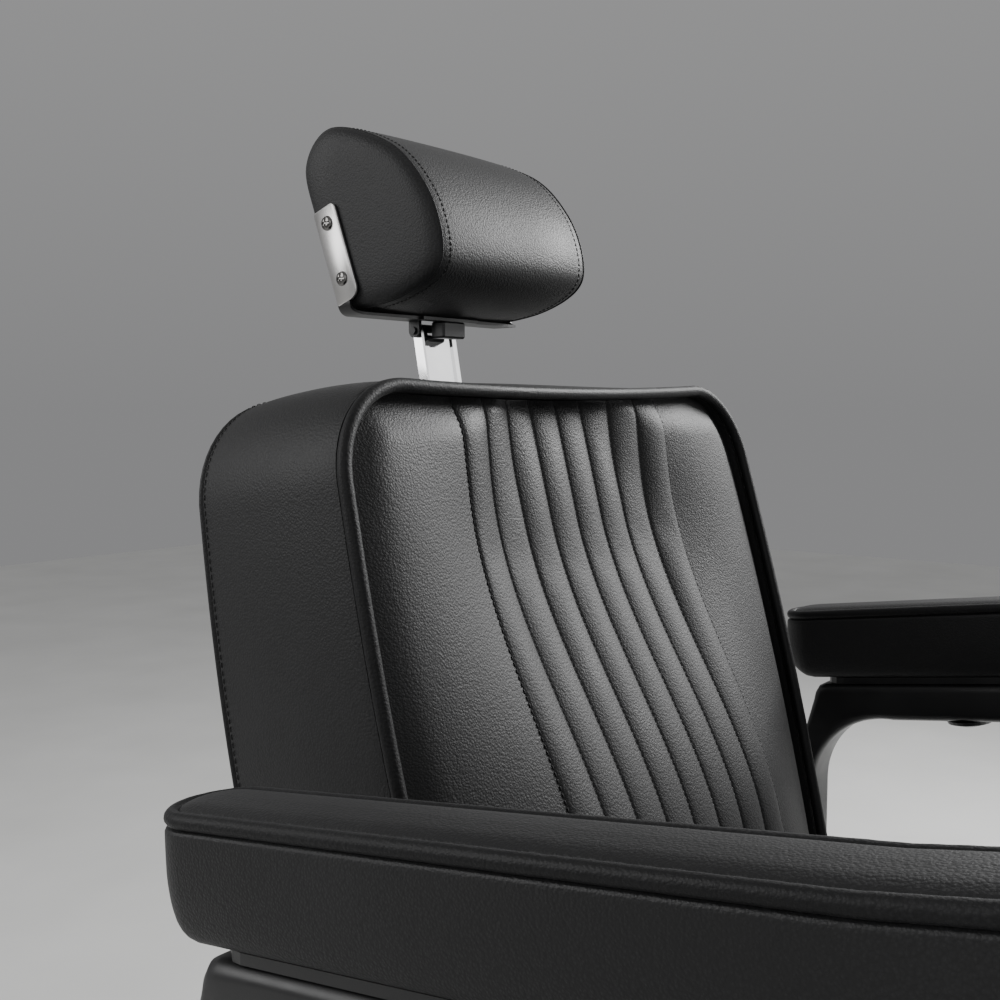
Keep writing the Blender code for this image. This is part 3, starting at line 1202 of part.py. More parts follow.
def make_headrest():
    """Pad, bracket with ears, tilt pin, cover block, piping and screws."""
    half = HEAD_WIDTH / 2
    turn = HEAD_CAP_ROUND
    seam = -half + turn * 1.4
    bead = HEAD_BEAD
    stations = [(-half, 0.50), (-half, 0.86), (-half + turn * 0.4, 0.965), (seam, 0.995),
                (seam + bead * 0.4, 1.0 + bead * 5), (seam + bead * 1.2, 1.0 + bead * 5),
                (seam + bead * 1.6, 1.0), (-half * 0.45, 1.012)]
    stations = stations + [(-x, s) for x, s in stations[::-1]]
    rings = [[(x, y, z) for y, z in head_profile(s)] for x, s in stations]
    add("headrest_pad", loft(rings), "leather", tilt, 60)

    up = Vector((0, math.sin(EAR_LEAN), math.cos(EAR_LEAN)))
    back = Vector((0, math.cos(EAR_LEAN), -math.sin(EAR_LEAN)))
    ear_foot = tilt_pin + Vector((0, EAR_FOOT_Y, EAR_FOOT_Z))
    r = EAR_CORNER
    corner = [ear_foot - back * (EAR_WIDTH / 2), ear_foot + back * (EAR_WIDTH / 2),
              ear_foot + back * (EAR_WIDTH / 2) + up * (EAR_HEIGHT - r),
              ear_foot + back * (EAR_WIDTH / 2 - r) + up * EAR_HEIGHT,
              ear_foot + back * (-EAR_WIDTH / 2 + r) + up * EAR_HEIGHT,
              ear_foot + back * (-EAR_WIDTH / 2) + up * (EAR_HEIGHT - r)]
    ear = [(p.y, p.z) for p in corner]
    side = half + GAP
    low_y, high_y = ear[0][0] - 0.004, ear[1][0]
    strap_z = tilt_pin.z + STRAP_RISE
    foot_z = ear_foot.z + 0.004
    outer_x = side + STRAP_THICK

    def strap_half(sign):
        bend = STRAP_BEND
        outer = [(outer_x, foot_z)] + arc((outer_x - bend, strap_z - STRAP_THICK / 2 + bend), bend, 0, -90, 5)
        inner = [(side, foot_z)] + arc((outer_x - bend, strap_z - STRAP_THICK / 2 + bend), bend - STRAP_THICK,
                                       0, -90, 5)
        flat = outer + [(0.0, strap_z - STRAP_THICK / 2), (0.0, strap_z + STRAP_THICK / 2)] + inner[::-1]
        bm = bmesh.new()
        face = bm.faces.new([bm.verts.new((sign * x, low_y, z)) for x, z in flat])
        grown = bmesh.ops.extrude_face_region(bm, geom=[face])
        tops = [v for v in grown["geom"] if isinstance(v, bmesh.types.BMVert)]
        bmesh.ops.translate(bm, vec=(0, high_y - low_y, 0), verts=tops)
        return bm

    bracket = add("headrest_bracket", strap_half(1), "satin_steel", tilt)
    weld(bracket, strap_half(-1))
    for sign in (1, -1):
        low, high = sorted((sign * (side + 0.0002), sign * (outer_x - 0.0002)))
        weld(bracket, prism(ear, low, high))
    room = POST_WIDTH / 2 + RUN_GAP
    notch = POST_THICK / 2 + 0.0015
    web = 0.012
    weld(bracket, block((-room - web, tilt_pin.y - notch - web, strap_z - STRAP_THICK / 2 + 0.0002),
                        (room + web, high_y - 0.0002, strap_z + STRAP_THICK / 2 - 0.0002)))
    cut(bracket, block((-room, tilt_pin.y - notch, strap_z - 0.01), (room, high_y + 0.01, strap_z + 0.01)))
    for sign in (1, -1):
        low, high = sorted((sign * room, sign * (room + 0.003)))
        lug = arc((tilt_pin.y, tilt_pin.z), POST_THICK / 2, 180, 360, 8)
        lug = lug + [(tilt_pin.y + POST_THICK / 2, strap_z), (tilt_pin.y - POST_THICK / 2, strap_z)]
        weld(bracket, prism(lug, low, high))
    pin_x = room + 0.005
    cut(bracket, rod(tilt_pin - Vector((pin_x + 0.01, 0, 0)), tilt_pin + Vector((pin_x + 0.01, 0, 0)),
                     TILT_PIN_RADIUS + GAP, 12))
    reach = Vector((pin_x, 0, 0))
    add("tilt_pin", rod(tilt_pin - reach, tilt_pin + reach, TILT_PIN_RADIUS, 12), "zinc_steel", tilt)
    rear = tilt_pin.y - POST_THICK / 2 - 0.003
    add("tilt_cover", block((-POST_WIDTH * 0.33, rear - 0.014, tilt_pin.z - 0.006),
                            (POST_WIDTH * 0.33, rear, strap_z - STRAP_THICK / 2 - GAP), 0.0015),
        "plastic", tilt)

    for name, sign in mirrored(("left", "right")):
        for number, share in (("lower", 0.18), ("upper", 0.82)):
            spot = ear_foot + up * (EAR_HEIGHT * share) + Vector((sign * (outer_x + GAP), 0, 0))
            s = SCREW_RADIUS
            screw = turned([(0, 0), (s, 0), (s * 0.92, SCREW_HEIGHT * 0.6), (s * 0.5, SCREW_HEIGHT),
                            (0, SCREW_HEIGHT)], 14)
            add("ear_screw_" + number + "_" + name, moved(screw, along(spot, (sign, 0, 0))), "satin_steel",
                tilt)


make_lock()
make_post()
make_headrest()


# Footrest: bent tube, clamps and folding plate

def make_footrest():
    """One bent tube under the seat, with a plate that folds up on its cross run."""
    r = FOOT_TUBE_RADIUS
    x = FOOT_TUBE_X
    top_z = RAIL_Z - GAP - r
    run = Vector((0, FOOT_AXIS_Y - FOOT_BEND_Y, FOOT_AXIS_Z - top_z)).normalized()
    knee = Vector((x, FOOT_BEND_Y, top_z))
    ankle = Vector((x, FOOT_AXIS_Y, FOOT_AXIS_Z))
    bend = FOOT_BEND_RADIUS
    half = [(x, ARM_BAR_FRONT_Y + RAIL_WIDTH / 2, top_z), tuple(knee + Vector((0, bend, 0)))]
    half += bent(knee + Vector((0, bend, 0)), knee, knee + run * bend)
    half += [tuple(knee + run * bend)] + [tuple(ankle - run * bend * 0.6)]
    half += bent(ankle - run * bend * 0.6, ankle, ankle - Vector((bend * 0.6, 0, 0)))
    half += [tuple(ankle - Vector((bend * 0.6, 0, 0)))]
    route = half + [(-a, b, c) for a, b, c in half[::-1]]
    piping("footrest_tube", route, r, "chrome", swivel, cyclic=False, resolution=3)

    for name, sign in mirrored(("left", "right")):
        y = RAIL_FRONT_Y + RAIL_WIDTH / 2
        wide = r + 0.014
        clamp = add("footrest_clamp_" + name,
                    block((sign * x - wide, y - 0.011, top_z - r - 0.004),
                          (sign * x + wide, y + 0.011, RAIL_Z - GAP), 0.001), "black_steel", swivel)
        cut(clamp, rod((sign * x, y - 0.05, top_z), (sign * x, y + 0.05, top_z), r + GAP, 20))
        cut(clamp, block((sign * x - r * 0.6, y - 0.05, top_z),
                         (sign * x + r * 0.6, y + 0.05, RAIL_Z + 0.01)))
        for part in (-1, 1):
            spot = Vector((sign * x + part * (wide - 0.007), y, top_z - r - 0.004))
            weld(clamp, bolt_head(spot, (0, 0, -1), SEAT_BOLT_RADIUS * 0.6))

    ahead = Vector((0, -math.cos(FOOT_PLATE_PITCH), math.sin(FOOT_PLATE_PITCH)))
    up = Vector((0, math.sin(FOOT_PLATE_PITCH), math.cos(FOOT_PLATE_PITCH)))
    axis = foot_axis["world"]
    sleeve = r + RUN_GAP + FOOT_SLEEVE_WALL

    def slab(start, end, low, high, width, corner):
        places = [(-width / 2, start), (-width / 2, end - corner), (-width / 2 + corner, end),
                  (width / 2 - corner, end), (width / 2, end - corner), (width / 2, start)]
        return loft([[axis + Vector((a, 0, 0)) + ahead * b + up * c for a, b in places] for c in (low, high)])

    rise = sleeve - FOOT_PLATE_THICK
    plate = add("footplate", slab(sleeve - 0.001, FOOT_PLATE_LENGTH, rise, sleeve, FOOT_PLATE_WIDTH, 0.020),
                "satin_steel", foot_axis)
    for middle in (-0.045, 0.045):
        low = axis + Vector((middle - FOOT_SLEEVE_LENGTH / 2, 0, 0))
        high = axis + Vector((middle + FOOT_SLEEVE_LENGTH / 2, 0, 0))
        weld(plate, rod(low, high, sleeve, 20))
        web = slab(0.0, sleeve + 0.030, sleeve - FOOT_PLATE_THICK - 0.004, sleeve - 0.0005,
                   FOOT_SLEEVE_LENGTH - 0.002, 0.004)
        weld(plate, moved(web, Matrix.Translation((middle, 0, 0))))
    cut(plate, rod(axis - Vector((0.2, 0, 0)), axis + Vector((0.2, 0, 0)), r + RUN_GAP, 20))
    lip = 0.014
    mat_start = sleeve + 0.012
    mat = add("footplate_mat", slab(mat_start, FOOT_PLATE_LENGTH - lip, sleeve + GAP,
                                    sleeve + GAP + FOOT_MAT_THICK, FOOT_PLATE_WIDTH - 2 * lip, 0.012),
              "rubber", foot_axis)
    pitch = (FOOT_PLATE_LENGTH - lip - mat_start) / FOOT_RIBS
    floor = sleeve + GAP + FOOT_MAT_THICK * 0.5
    for k in range(FOOT_RIBS - 1):
        groove = mat_start + pitch * (k + 0.8)
        cut(mat, slab(groove, groove + pitch * 0.4, floor, floor + 0.01, FOOT_PLATE_WIDTH, 0.0005))


def bent(start, corner, end, steps=4):
    """Points of a smooth bend that leaves both straight runs at their ends."""
    points = []
    for k in range(1, steps):
        t = k / steps
        points.append(tuple(start * (1 - t) ** 2 + corner * 2 * t * (1 - t) + end * t ** 2))
    return points


make_footrest()
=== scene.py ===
"""Looks of the barber chair: leather, piping, stitching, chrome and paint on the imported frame."""
import json
from math import cos, pi, radians, sin, sqrt, tan

import bmesh
import bpy
from mathutils import Matrix, Vector


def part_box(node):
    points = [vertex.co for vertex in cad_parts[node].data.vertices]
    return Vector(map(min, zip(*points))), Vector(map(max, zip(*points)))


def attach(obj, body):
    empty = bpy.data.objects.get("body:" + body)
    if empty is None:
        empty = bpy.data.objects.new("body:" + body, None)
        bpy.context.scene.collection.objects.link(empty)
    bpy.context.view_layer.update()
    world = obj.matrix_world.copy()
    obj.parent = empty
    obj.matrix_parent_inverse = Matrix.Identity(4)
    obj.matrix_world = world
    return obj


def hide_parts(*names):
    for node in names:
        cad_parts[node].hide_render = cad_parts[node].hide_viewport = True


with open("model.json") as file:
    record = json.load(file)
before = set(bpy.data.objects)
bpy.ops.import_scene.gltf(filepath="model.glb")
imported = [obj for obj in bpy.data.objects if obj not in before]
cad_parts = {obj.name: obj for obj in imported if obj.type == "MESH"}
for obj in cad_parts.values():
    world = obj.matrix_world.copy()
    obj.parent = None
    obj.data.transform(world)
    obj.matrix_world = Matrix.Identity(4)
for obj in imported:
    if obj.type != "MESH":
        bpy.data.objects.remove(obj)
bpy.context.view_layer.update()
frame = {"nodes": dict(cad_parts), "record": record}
NODES = frame["nodes"]

SIDES = (("left", 1), ("right", -1))  # the chair's own sides, and the sign of x there

# Sizes in metres, most of them shared with the solids

# Piping and channels
WELT = 0.0046  # radius of the piping
CHANNELS = 8
PITCH = 0.0321  # between channel seams
SPAN = CHANNELS * PITCH / 2

# Backrest
BACK_TOP, BACK_BOTTOM = 0.885, 0.432
BACK_HALF, BACK_FLARE, SIDE_BOW, REAR_TAPER = 0.245, -0.016, 0.0125, 0.010
FRONT_TOP_Y, FRONT_LEAN = 0.234, tan(radians(14.3))
REAR_TOP_Y, REAR_LEAN = 0.374, tan(radians(10.2))
FRONT_CORNER, REAR_CORNER, FOOT_CORNER = 0.065, 0.075, 0.030
TOP_DIP, REAR_SHOULDER, REAR_CROWN = 0.004, 0.013, 0.014
HOLLOW, LUMBAR = 0.0200, 0.028
LUMBAR_LOW, LUMBAR_HIGH, LUMBAR_RUN = 0.555, 0.785, 0.09
FLAT_HALF, TOP_FADE, MARGIN_CROWN = 0.075, 0.100, 0.006
RIM_TUCK, RIM_REACH = 0.0105, 0.030
BOARD_FRONT = 0.0345  # front of the back board before the rear seam
BOXING_WALL = 0.006
BOXING_BULGE, BULGE_POWER = 0.004, 0.7
REAR_SEAM = 0.972  # stitches of the rear seam, from the front (0) to the rear (1)
REAR_PANEL = ((0.0016, -0.0002), (-0.0003, 0.0022), (0.0022, 0.0056), (0.008, 0.0072),
              (0.035, 0.0101), (0.077, 0.0132), (0.119, 0.0140), (0.190, 0.0141))

# Seat
SEAT_WIDTH, SEAT_FRONT, SEAT_REAR = 0.590, -0.372, 0.085
SEAT_FRONT_CORNER, SEAT_REAR_CORNER = 0.060, 0.030
SEAT_WELT_HEIGHT, SEAT_WELT_INSET, SEAT_CROWN = 0.092, 0.0025, 0.016
SEAT_SLOPE = tan(radians(4.0))
SEAT_SIDE = ((0.0, 0.001), (0.04, -0.0044), (0.14, -0.0050), (0.42, 0.0040),
             (0.75, 0.0030), (1.0, 0.0100))  # share of the height, draw inwards
CUSHION_Z = 0.3691

# Arm pads and the cast loops under them
ARM_MID_X, ARM_WIDTH, ARM_TOP, ARM_RISE = 0.3591, 0.058, 0.702, 0.142
ARM_REAR, ARM_FRONT, ARM_KINK = 0.2215, -0.226, -0.140
ARM_PAD, ARM_TAPER, ARM_WELT = 0.0655, 0.006, 0.0043
ARM_LIFT, ARM_LIFT_REACH, ARM_LIFT_FROM = 0.014, 0.036, 0.35
ARM_NOSE_RISE = 0.050  # slope added in front of the kink
RAIL_Z, BAR_Z, SILL = 0.3265, 0.3415, 0.040
LOOP_WIDTH, LOOP_DROP, BEAM = 0.046, 0.0721, 0.0345
COLUMN_REAR, COLUMN_FRONT, REAR_COLUMN, FRONT_COLUMN = 0.220, -0.205, 0.034, 0.050
SHOULDER, SHOULDER_EDGE, COLUMN_LEAN = 0.186, 0.010, 0.27
ARCH, LOOP_FOOT, LOOP_HEEL = 0.076, 0.030, 0.020
LOOP_EDGE, LOOP_EDGE_SHARE = 0.009, 0.22
LOOP_BOLTS, BOLT = (-0.135, 0.145), 0.009
SOCKET_SCREW = ((0, 1.0), (0.0036, 1.0), (0.0052, 0.90), (0.0062, 0.70), (0.0062, 0.46),
                (0.0030, 0.44), (0.0030, 0.05))  # height, share of the radius

# Headrest and its bracket
PIN_Y, PIN_Z, HEAD_TALL = 0.369197, 0.930, 0.149
EAR_WIDTH, EAR_HEIGHT, EAR_LEAN, EAR_TAIL = 0.023, 0.070, radians(20.0), 0.005
EAR_FOOT_Y, EAR_FOOT_Z, EAR_INSIDE = -0.001, 0.023, 0.0963
EAR_CORNERS = ((-1, 0, 0.0085, 180), (1, 0, 0.0012, 270), (1, 1, 0.0025, 360),
               (-1, 1, 0.0050, 450))  # side, end, radius, start of the arc
STRAP_RISE, STRAP_THICK, STRAP_BEND, POST_ROOM = 0.0088, 0.0025, 0.010, 0.021
STRAP_FRONT, STRAP_REAR, STRAP_NECK = 0.0158, 0.0088, 0.004
STRAP_WEB, STRAP_NOTCH, SHEET_EDGE = 0.012, 0.007, 0.0004
LUG_RADIUS, LUG_THICK = 0.0055, 0.003
HEAD_HALF, HEAD_CAP, HEAD_BEAD = 0.096, 0.0086, 0.0009
HEAD_MID_Y, HEAD_MID_Z, HEAD_ROW = -0.016, 0.078, 0.0075
HEAD_OUTLINE = ((0.1611, 1.0), (0.3423, 0.8389), (0.2685, 0.5503), (0.1477, 0.2013),
                (0.0671, 0.0906), (-0.2685, 0.1208), (-0.5235, 0.2282), (-0.5772, 0.3758),
                (-0.4832, 0.6309), (-0.2416, 0.8725))

# Footrest and base
FOOT_TUBE, FOOT_X, FOOT_START, FOOT_BEND = 0.011, 0.100, -0.145, 0.045
FOOT_KNEE, FOOT_AXIS = (-0.370, 0.3152), (-0.505, 0.170)
DOME = ((0.2945, 0.0083), (0.2945, 0.0157), (0.2804, 0.0251), (0.2380, 0.0335),
        (0.1579, 0.0440), (0.1060, 0.0577), (0.0755, 0.0797), (0.0605, 0.1133))
DOME_INSIDE = ((0.2925, 0.0083), (0.0588, 0.1133))
RIM_START = ((0.2953, 0.0086), (0.3003, 0.0084), (0.3003, 0.0002), (0.3073, 0.0))
RIM_ROUND = (0.3043, 0.0100, 0.0040)  # centre radius, height, radius of its edge
RIM_END = ((0.2956, 0.0140), (0.2953, 0.0136))

# Covers: how fine they are, how far they swell, and small gaps
CHANNEL_STEPS, MARGIN_STEPS = 12, 16  # columns in a channel, and in a plain margin
GAP = 0.0003  # between pieces that lie on each other
BACK_SWELL, SEAT_SWELL = 0.0033, 0.0065
CUSHION_SHARP, COVER_SHARP = 42.0, 75.0  # degrees
COVER_MOVE, HEAD_MOVE = 0.0016, 0.0015  # most that the cloth may move a point
COVER_PRESSURE, COVER_FRAMES = 4.0, 20

# Edge rounding of solids that are shown as they are
SOFT_EDGES = {0.0016: ("seat_frame",), 0.0012: ("pump_pedal",),
              0.0010: ("hinge_bracket_left", "hinge_bracket_right", "pedal_pad"),
              0.0008: ("seat_plate", "back_frame", "tilt_cover", "footplate", "lock_clevis",
                       "footrest_clamp_left", "footrest_clamp_right"),
              0.0006: ("pedal_bracket", "base_plate"), 0.0004: ("headrest_post", "footplate_mat")}
EDGE_SEGMENTS, EDGE_ANGLE, NODE_SHARP = 3, 38.0, 34.0
SHADE_PAINTED = ("tilt_pin",)  # solids shown in black paint as painted shade, whatever their slot

# Photo camera, found by fitting the piping, arms and headrest
CAMERA_AT = Vector((-0.7222, -0.2714, 0.8674))
CAMERA_YAW = radians(51.58)
CAMERA_PITCH = radians(-4.393)
CAMERA_ROLL = radians(-0.176)
LENS_MM = 42.48
SENSOR_MM = 36.0
FLOOR_REACH = 6.0
WORLD_STRENGTH = 0.42
# Name, place, aim, size and watts of each lamp
LAMPS = (("key", (2.1, -0.5, 1.95), (0.0, 0.25, 0.75), 1.1, 95.0),
         ("side", (1.9, -1.1, 1.25), (0.0, 0.3, 0.9), 1.6, 9.0),
         ("fill", (-2.0, -1.0, 1.6), (0.0, 0.1, 0.6), 2.0, 10.0),
         ("rim", (-1.6, 1.6, 1.7), (0.0, 0.25, 0.85), 1.6, 24.0))


# Small helpers

def mix(a, b, share):
    """Value a share of the way from a to b."""
    return a + (b - a) * share


def smooth(share):
    """Ease from 0 to 1, flat at both ends."""
    share = min(max(share, 0.0), 1.0)
    return share * share * (3.0 - 2.0 * share)


def arc(cx, cy, radius, start, end, steps):
    """Points on an arc, from angle start to end in degrees."""
    angles = [radians(mix(start, end, k / steps)) for k in range(steps + 1)]
    return [(cx + radius * cos(a), cy + radius * sin(a)) for a in angles]


def circle(steps):
    """Angles of even steps round a circle, in radians."""
    return [2 * pi * k / steps for k in range(steps)]


def bend(start, corner, end, turns=12):
    """Points of a smooth bend that leaves both straight runs at their ends."""
    start, corner, end = Vector(start), Vector(corner), Vector(end)
    shares = [k / turns for k in range(turns + 1)]
    return [start.lerp(corner, s).lerp(corner.lerp(end, s), s) for s in shares]


def link(obj):
    """Put an object into the scene."""
    bpy.context.scene.collection.objects.link(obj)
    return obj


def mesh_object(name, bm, material, sharp=40.0):
    """A smooth-shaded object from a bmesh."""
    bmesh.ops.recalc_face_normals(bm, faces=bm.faces[:])
    mesh = bpy.data.meshes.new(name)
    bm.to_mesh(mesh)
    bm.free()
    mesh.materials.append(material)
    mesh.shade_smooth()
    mesh.set_sharp_from_angle(angle=radians(sharp))
    return link(bpy.data.objects.new(name, mesh))


def wear(obj, body, slot, *nodes):
    """Ride a piece on its body and hide the solids that it stands for; its slot is not used."""
    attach(obj, body)
    if nodes:
        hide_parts(*nodes)


# Materials: every one is made of nodes

def new_node(tree, kind, **values):
    """A node with values on its sockets."""
    node = tree.nodes.new(kind)
    for socket, value in values.items():
        node.inputs[socket].default_value = value
    return node


def feed(tree, value, node, socket):
    """Link a value to a socket of a node."""
    tree.links.new(value, node.inputs[socket])


def new_material(name, colour, roughness, metallic=0.0):
    """A Principled material; returns it with its tree and shader."""
    made = bpy.data.materials.new(name)
    made.use_nodes = True
    shader = made.node_tree.nodes["Principled BSDF"]
    shader.inputs["Base Color"].default_value = (*colour, 1.0)
    shader.inputs["Roughness"].default_value = roughness
    shader.inputs["Metallic"].default_value = metallic
    return made, made.node_tree, shader


def coordinates(tree, stretch=(1.0, 1.0, 1.0)):
    """Object coordinates, stretched along an axis if asked."""
    source = new_node(tree, "ShaderNodeTexCoord")
    mapping = new_node(tree, "ShaderNodeMapping", Scale=stretch)
    feed(tree, source.outputs["Object"], mapping, "Vector")
    return mapping.outputs["Vector"]


def noise(tree, where, scale, detail=3.0, rough=0.5, output="Fac"):
    """A noise value, or a noise colour."""
    node = new_node(tree, "ShaderNodeTexNoise", Scale=scale, Detail=detail, Roughness=rough)
    feed(tree, where, node, "Vector")
    return node.outputs[output]


def cells(tree, where, scale, smoothness=None):
    """Distance inside leather-like cells, with soft borders if asked."""
    node = new_node(tree, "ShaderNodeTexVoronoi", Scale=scale)
    if smoothness is not None:
        node.feature = "SMOOTH_F1"
        node.inputs["Smoothness"].default_value = smoothness
    feed(tree, where, node, "Vector")
    return node.outputs["Distance"]


def ramp(tree, value, low, high, low_at=0.3, high_at=0.7):
    """Map a value to a range of grey or colour."""
    node = new_node(tree, "ShaderNodeValToRGB")
    ends = node.color_ramp.elements
    for end, spot, shade in ((ends[0], low_at, low), (ends[1], high_at, high)):
        end.position = spot
        end.color = (*(shade if isinstance(shade, tuple) else (shade,) * 3), 1.0)
    feed(tree, value, node, "Fac")
    return node.outputs["Color"]


def arithmetic(tree, operation, a, b):
    """Two values combined; either may be a number."""
    node = new_node(tree, "ShaderNodeMath")
    node.operation = operation
    for socket, value in zip(node.inputs, (a, b)):
        if isinstance(value, (int, float)):
            socket.default_value = value
        else:
            tree.links.new(value, socket)
    return node.outputs["Value"]


def bump(tree, shader, height, strength, distance):
    """Relief on a shader from a height value."""
    node = new_node(tree, "ShaderNodeBump", Strength=strength, Distance=distance)
    feed(tree, height, node, "Height")
    feed(tree, node.outputs["Normal"], shader, "Normal")


def scaled(colour, factor):
    """A colour made lighter or darker."""
    return tuple(c * factor for c in colour)


def times(tree, value, factor):
    """A value multiplied by a number."""
    return arithmetic(tree, "MULTIPLY", value, factor)


def leather(name, relief=0.75, gloss=0.4):
    """Black pebble-grain upholstery leather, darker between the pebbles as painted shade, faintly
    scuffed.
    """
    low, high = (0.0060, 0.0060, 0.0065), (0.0125, 0.0126, 0.0134)
    grain, warp_reach, grain_depth = 660.0, 0.0009, 0.00032
    made, tree, shader = new_material(name, low, 0.45)
    shader.inputs["Specular IOR Level"].default_value = gloss
    shader.inputs["Sheen Weight"].default_value = 0.03
    shader.inputs["Sheen Roughness"].default_value = 0.4
    where = coordinates(tree)
    drift = noise(tree, where, 210.0, 2.0)
    # Cells are bent a little, so that no two pebbles are alike
    warp = new_node(tree, "ShaderNodeVectorMath")
    warp.operation = "MULTIPLY_ADD"
    warp.inputs[1].default_value = (warp_reach, warp_reach, warp_reach)
    feed(tree, noise(tree, where, 260.0, 2.0, output="Color"), warp, 0)
    feed(tree, where, warp, 2)
    bent = warp.outputs["Vector"]
    pebble = cells(tree, bent, grain, 0.35)
    fine = cells(tree, bent, grain * 2.3)
    broad = noise(tree, where, 7.0, 3.0)
    height = arithmetic(tree, "SUBTRACT", 1.0, pebble)
    height = arithmetic(tree, "SUBTRACT", height, times(tree, fine, 0.25))
    height = arithmetic(tree, "ADD", height, times(tree, drift, 0.35))
    # Painted shade: the colour darkens between the pebbles, over a broad random tone of the leather
    tone = arithmetic(tree, "ADD", times(tree, pebble, -0.55), times(tree, broad, 1.2))
    scuff = arithmetic(tree, "ADD", broad, times(tree, pebble, 0.3))
    feed(tree, ramp(tree, tone, low, high), shader, "Base Color")
    feed(tree, ramp(tree, scuff, 0.45, 0.58), shader, "Roughness")
    bump(tree, shader, height, relief, grain_depth)
    return made


def thread():
    """Black sewing thread with its twist."""
    made, tree, shader = new_material("black_thread", (0.010, 0.010, 0.011), 0.55)
    twist = noise(tree, coordinates(tree), 2600.0, 2.0)
    shades = ramp(tree, twist, (0.008, 0.008, 0.008), (0.026, 0.026, 0.027))
    feed(tree, shades, shader, "Base Color")
    bump(tree, shader, twist, 0.4, 0.0002)
    return made


def chrome(name, tint, low, high):
    """Bright plated metal with faint handling marks; low and high are its roughness."""
    made, tree, shader = new_material(name, tint, low, 1.0)
    where = coordinates(tree)
    marks = noise(tree, where, 38.0, 5.0, 0.6)
    cloud = noise(tree, where, 9.0)
    feed(tree, ramp(tree, marks, low, high, 0.35, 0.75), shader, "Roughness")
    feed(tree, ramp(tree, cloud, scaled(tint, 0.94), tint), shader, "Base Color")
    bump(tree, shader, marks, 0.02, 0.0002)
    return made


def brushed(name, tint, stretch, low=0.24, high=0.42):
    """Satin metal with fine lines along one way."""
    made, tree, shader = new_material(name, tint, low, 1.0)
    lines = noise(tree, coordinates(tree, stretch), 900.0, 4.0, 0.7)
    cloud = noise(tree, coordinates(tree), 22.0, 3.0)
    sheen = arithmetic(tree, "ADD", lines, times(tree, cloud, 0.3))
    feed(tree, ramp(tree, sheen, low, high, 0.35, 0.95), shader, "Roughness")
    feed(tree, ramp(tree, lines, scaled(tint, 0.86), tint), shader, "Base Color")
    bump(tree, shader, lines, 0.10, 0.0001)
    return made


def coated(name, shade, lighter, rough, texture, cloud, spots, relief):
    """Paint, rubber or plastic: a fine texture, and a broad cloud in its gloss and tone."""
    made, tree, shader = new_material(name, shade, rough[0])
    where = coordinates(tree)
    broad = noise(tree, where, *cloud)
    feed(tree, ramp(tree, broad, *rough), shader, "Roughness")
    feed(tree, ramp(tree, broad, shade, scaled(shade, lighter), *spots), shader, "Base Color")
    bump(tree, shader, noise(tree, where, *texture), relief, 0.0002)
    return made


def plywood():
    """Plywood stained black, with its long grain showing a little."""
    made, tree, shader = new_material("stained_plywood", (0.016, 0.014, 0.012), 0.62)
    grain = noise(tree, coordinates(tree, (6.0, 90.0, 90.0)), 4.0, 6.0, 0.6)
    shades = ramp(tree, grain, (0.010, 0.009, 0.008), (0.028, 0.024, 0.020))
    feed(tree, shades, shader, "Base Color")
    feed(tree, ramp(tree, grain, 0.70, 0.55), shader, "Roughness")
    bump(tree, shader, grain, 0.15, 0.0003)
    return made


LEATHER = leather("black_leather")
LEATHER_WELT = leather("welt_leather", 0.6, 0.27)
THREAD = thread()
CHROME = chrome("chrome_plate", (0.80, 0.80, 0.81), 0.045, 0.13)
NICKEL = chrome("dark_nickel", (0.20, 0.195, 0.19), 0.14, 0.26)
SATIN = brushed("satin_sheet", (0.66, 0.65, 0.64), (1.0, 14.0, 14.0))
ZINC = brushed("zinc_plate", (0.52, 0.52, 0.53), (1.0, 6.0, 6.0), 0.30, 0.5)
BRONZE = brushed("sintered_bronze", (0.52, 0.34, 0.16), (1.0, 4.0, 4.0), 0.32, 0.5)
PAINT = coated("black_powder_coat", (0.010, 0.010, 0.0105), 1.5, (0.34, 0.50), (900.0, 2.0),
               (16.0, 5.0, 0.65), (0.35, 0.8), 0.16)
RUBBER = coated("black_rubber", (0.010, 0.010, 0.010), 1.7, (0.62, 0.80), (1400.0, 3.0),
                (30.0, 4.0), (0.3, 0.7), 0.25)
PLASTIC = coated("black_plastic", (0.008, 0.008, 0.0085), 1.7, (0.34, 0.48), (1800.0, 3.0),
                 (30.0, 4.0), (0.3, 0.7), 0.15)
PLYWOOD = plywood()
# The arm boards (black_wood) get black paint: their own dark colour, and also painted shade in the
# gap under the pads
FINISH = {"leather": LEATHER, "chrome": CHROME, "satin_steel": SATIN, "black_steel": PAINT,
          "black_alloy": PAINT, "black_wood": PAINT, "plywood": PLYWOOD, "rubber": RUBBER,
          "plastic": PLASTIC, "zinc_steel": ZINC, "bronze": BRONZE}


# Form builders

def spaced(path, step, closed):
    """Points at even steps along a path."""
    points = [Vector(p) for p in path]
    if closed:
        points.append(points[0])
    lengths = [0.0]
    for a, b in zip(points, points[1:]):
        lengths.append(lengths[-1] + (b - a).length)
    count = max(int(round(lengths[-1] / step)), 4)
    out, at = [], 0
    for k in range(count + (not closed)):
        want = lengths[-1] * k / count
        while at < len(points) - 2 and lengths[at + 1] < want:
            at += 1
        room = max(lengths[at + 1] - lengths[at], 1e-9)
        out.append(points[at].lerp(points[at + 1], min((want - lengths[at]) / room, 1.0)))
    return out


def evenly(path, count):
    """A path cut into a number of equal lengths."""
    points = [Vector(p) for p in path]
    length = sum((b - a).length for a, b in zip(points, points[1:]))
    return spaced(points, length / count, False)


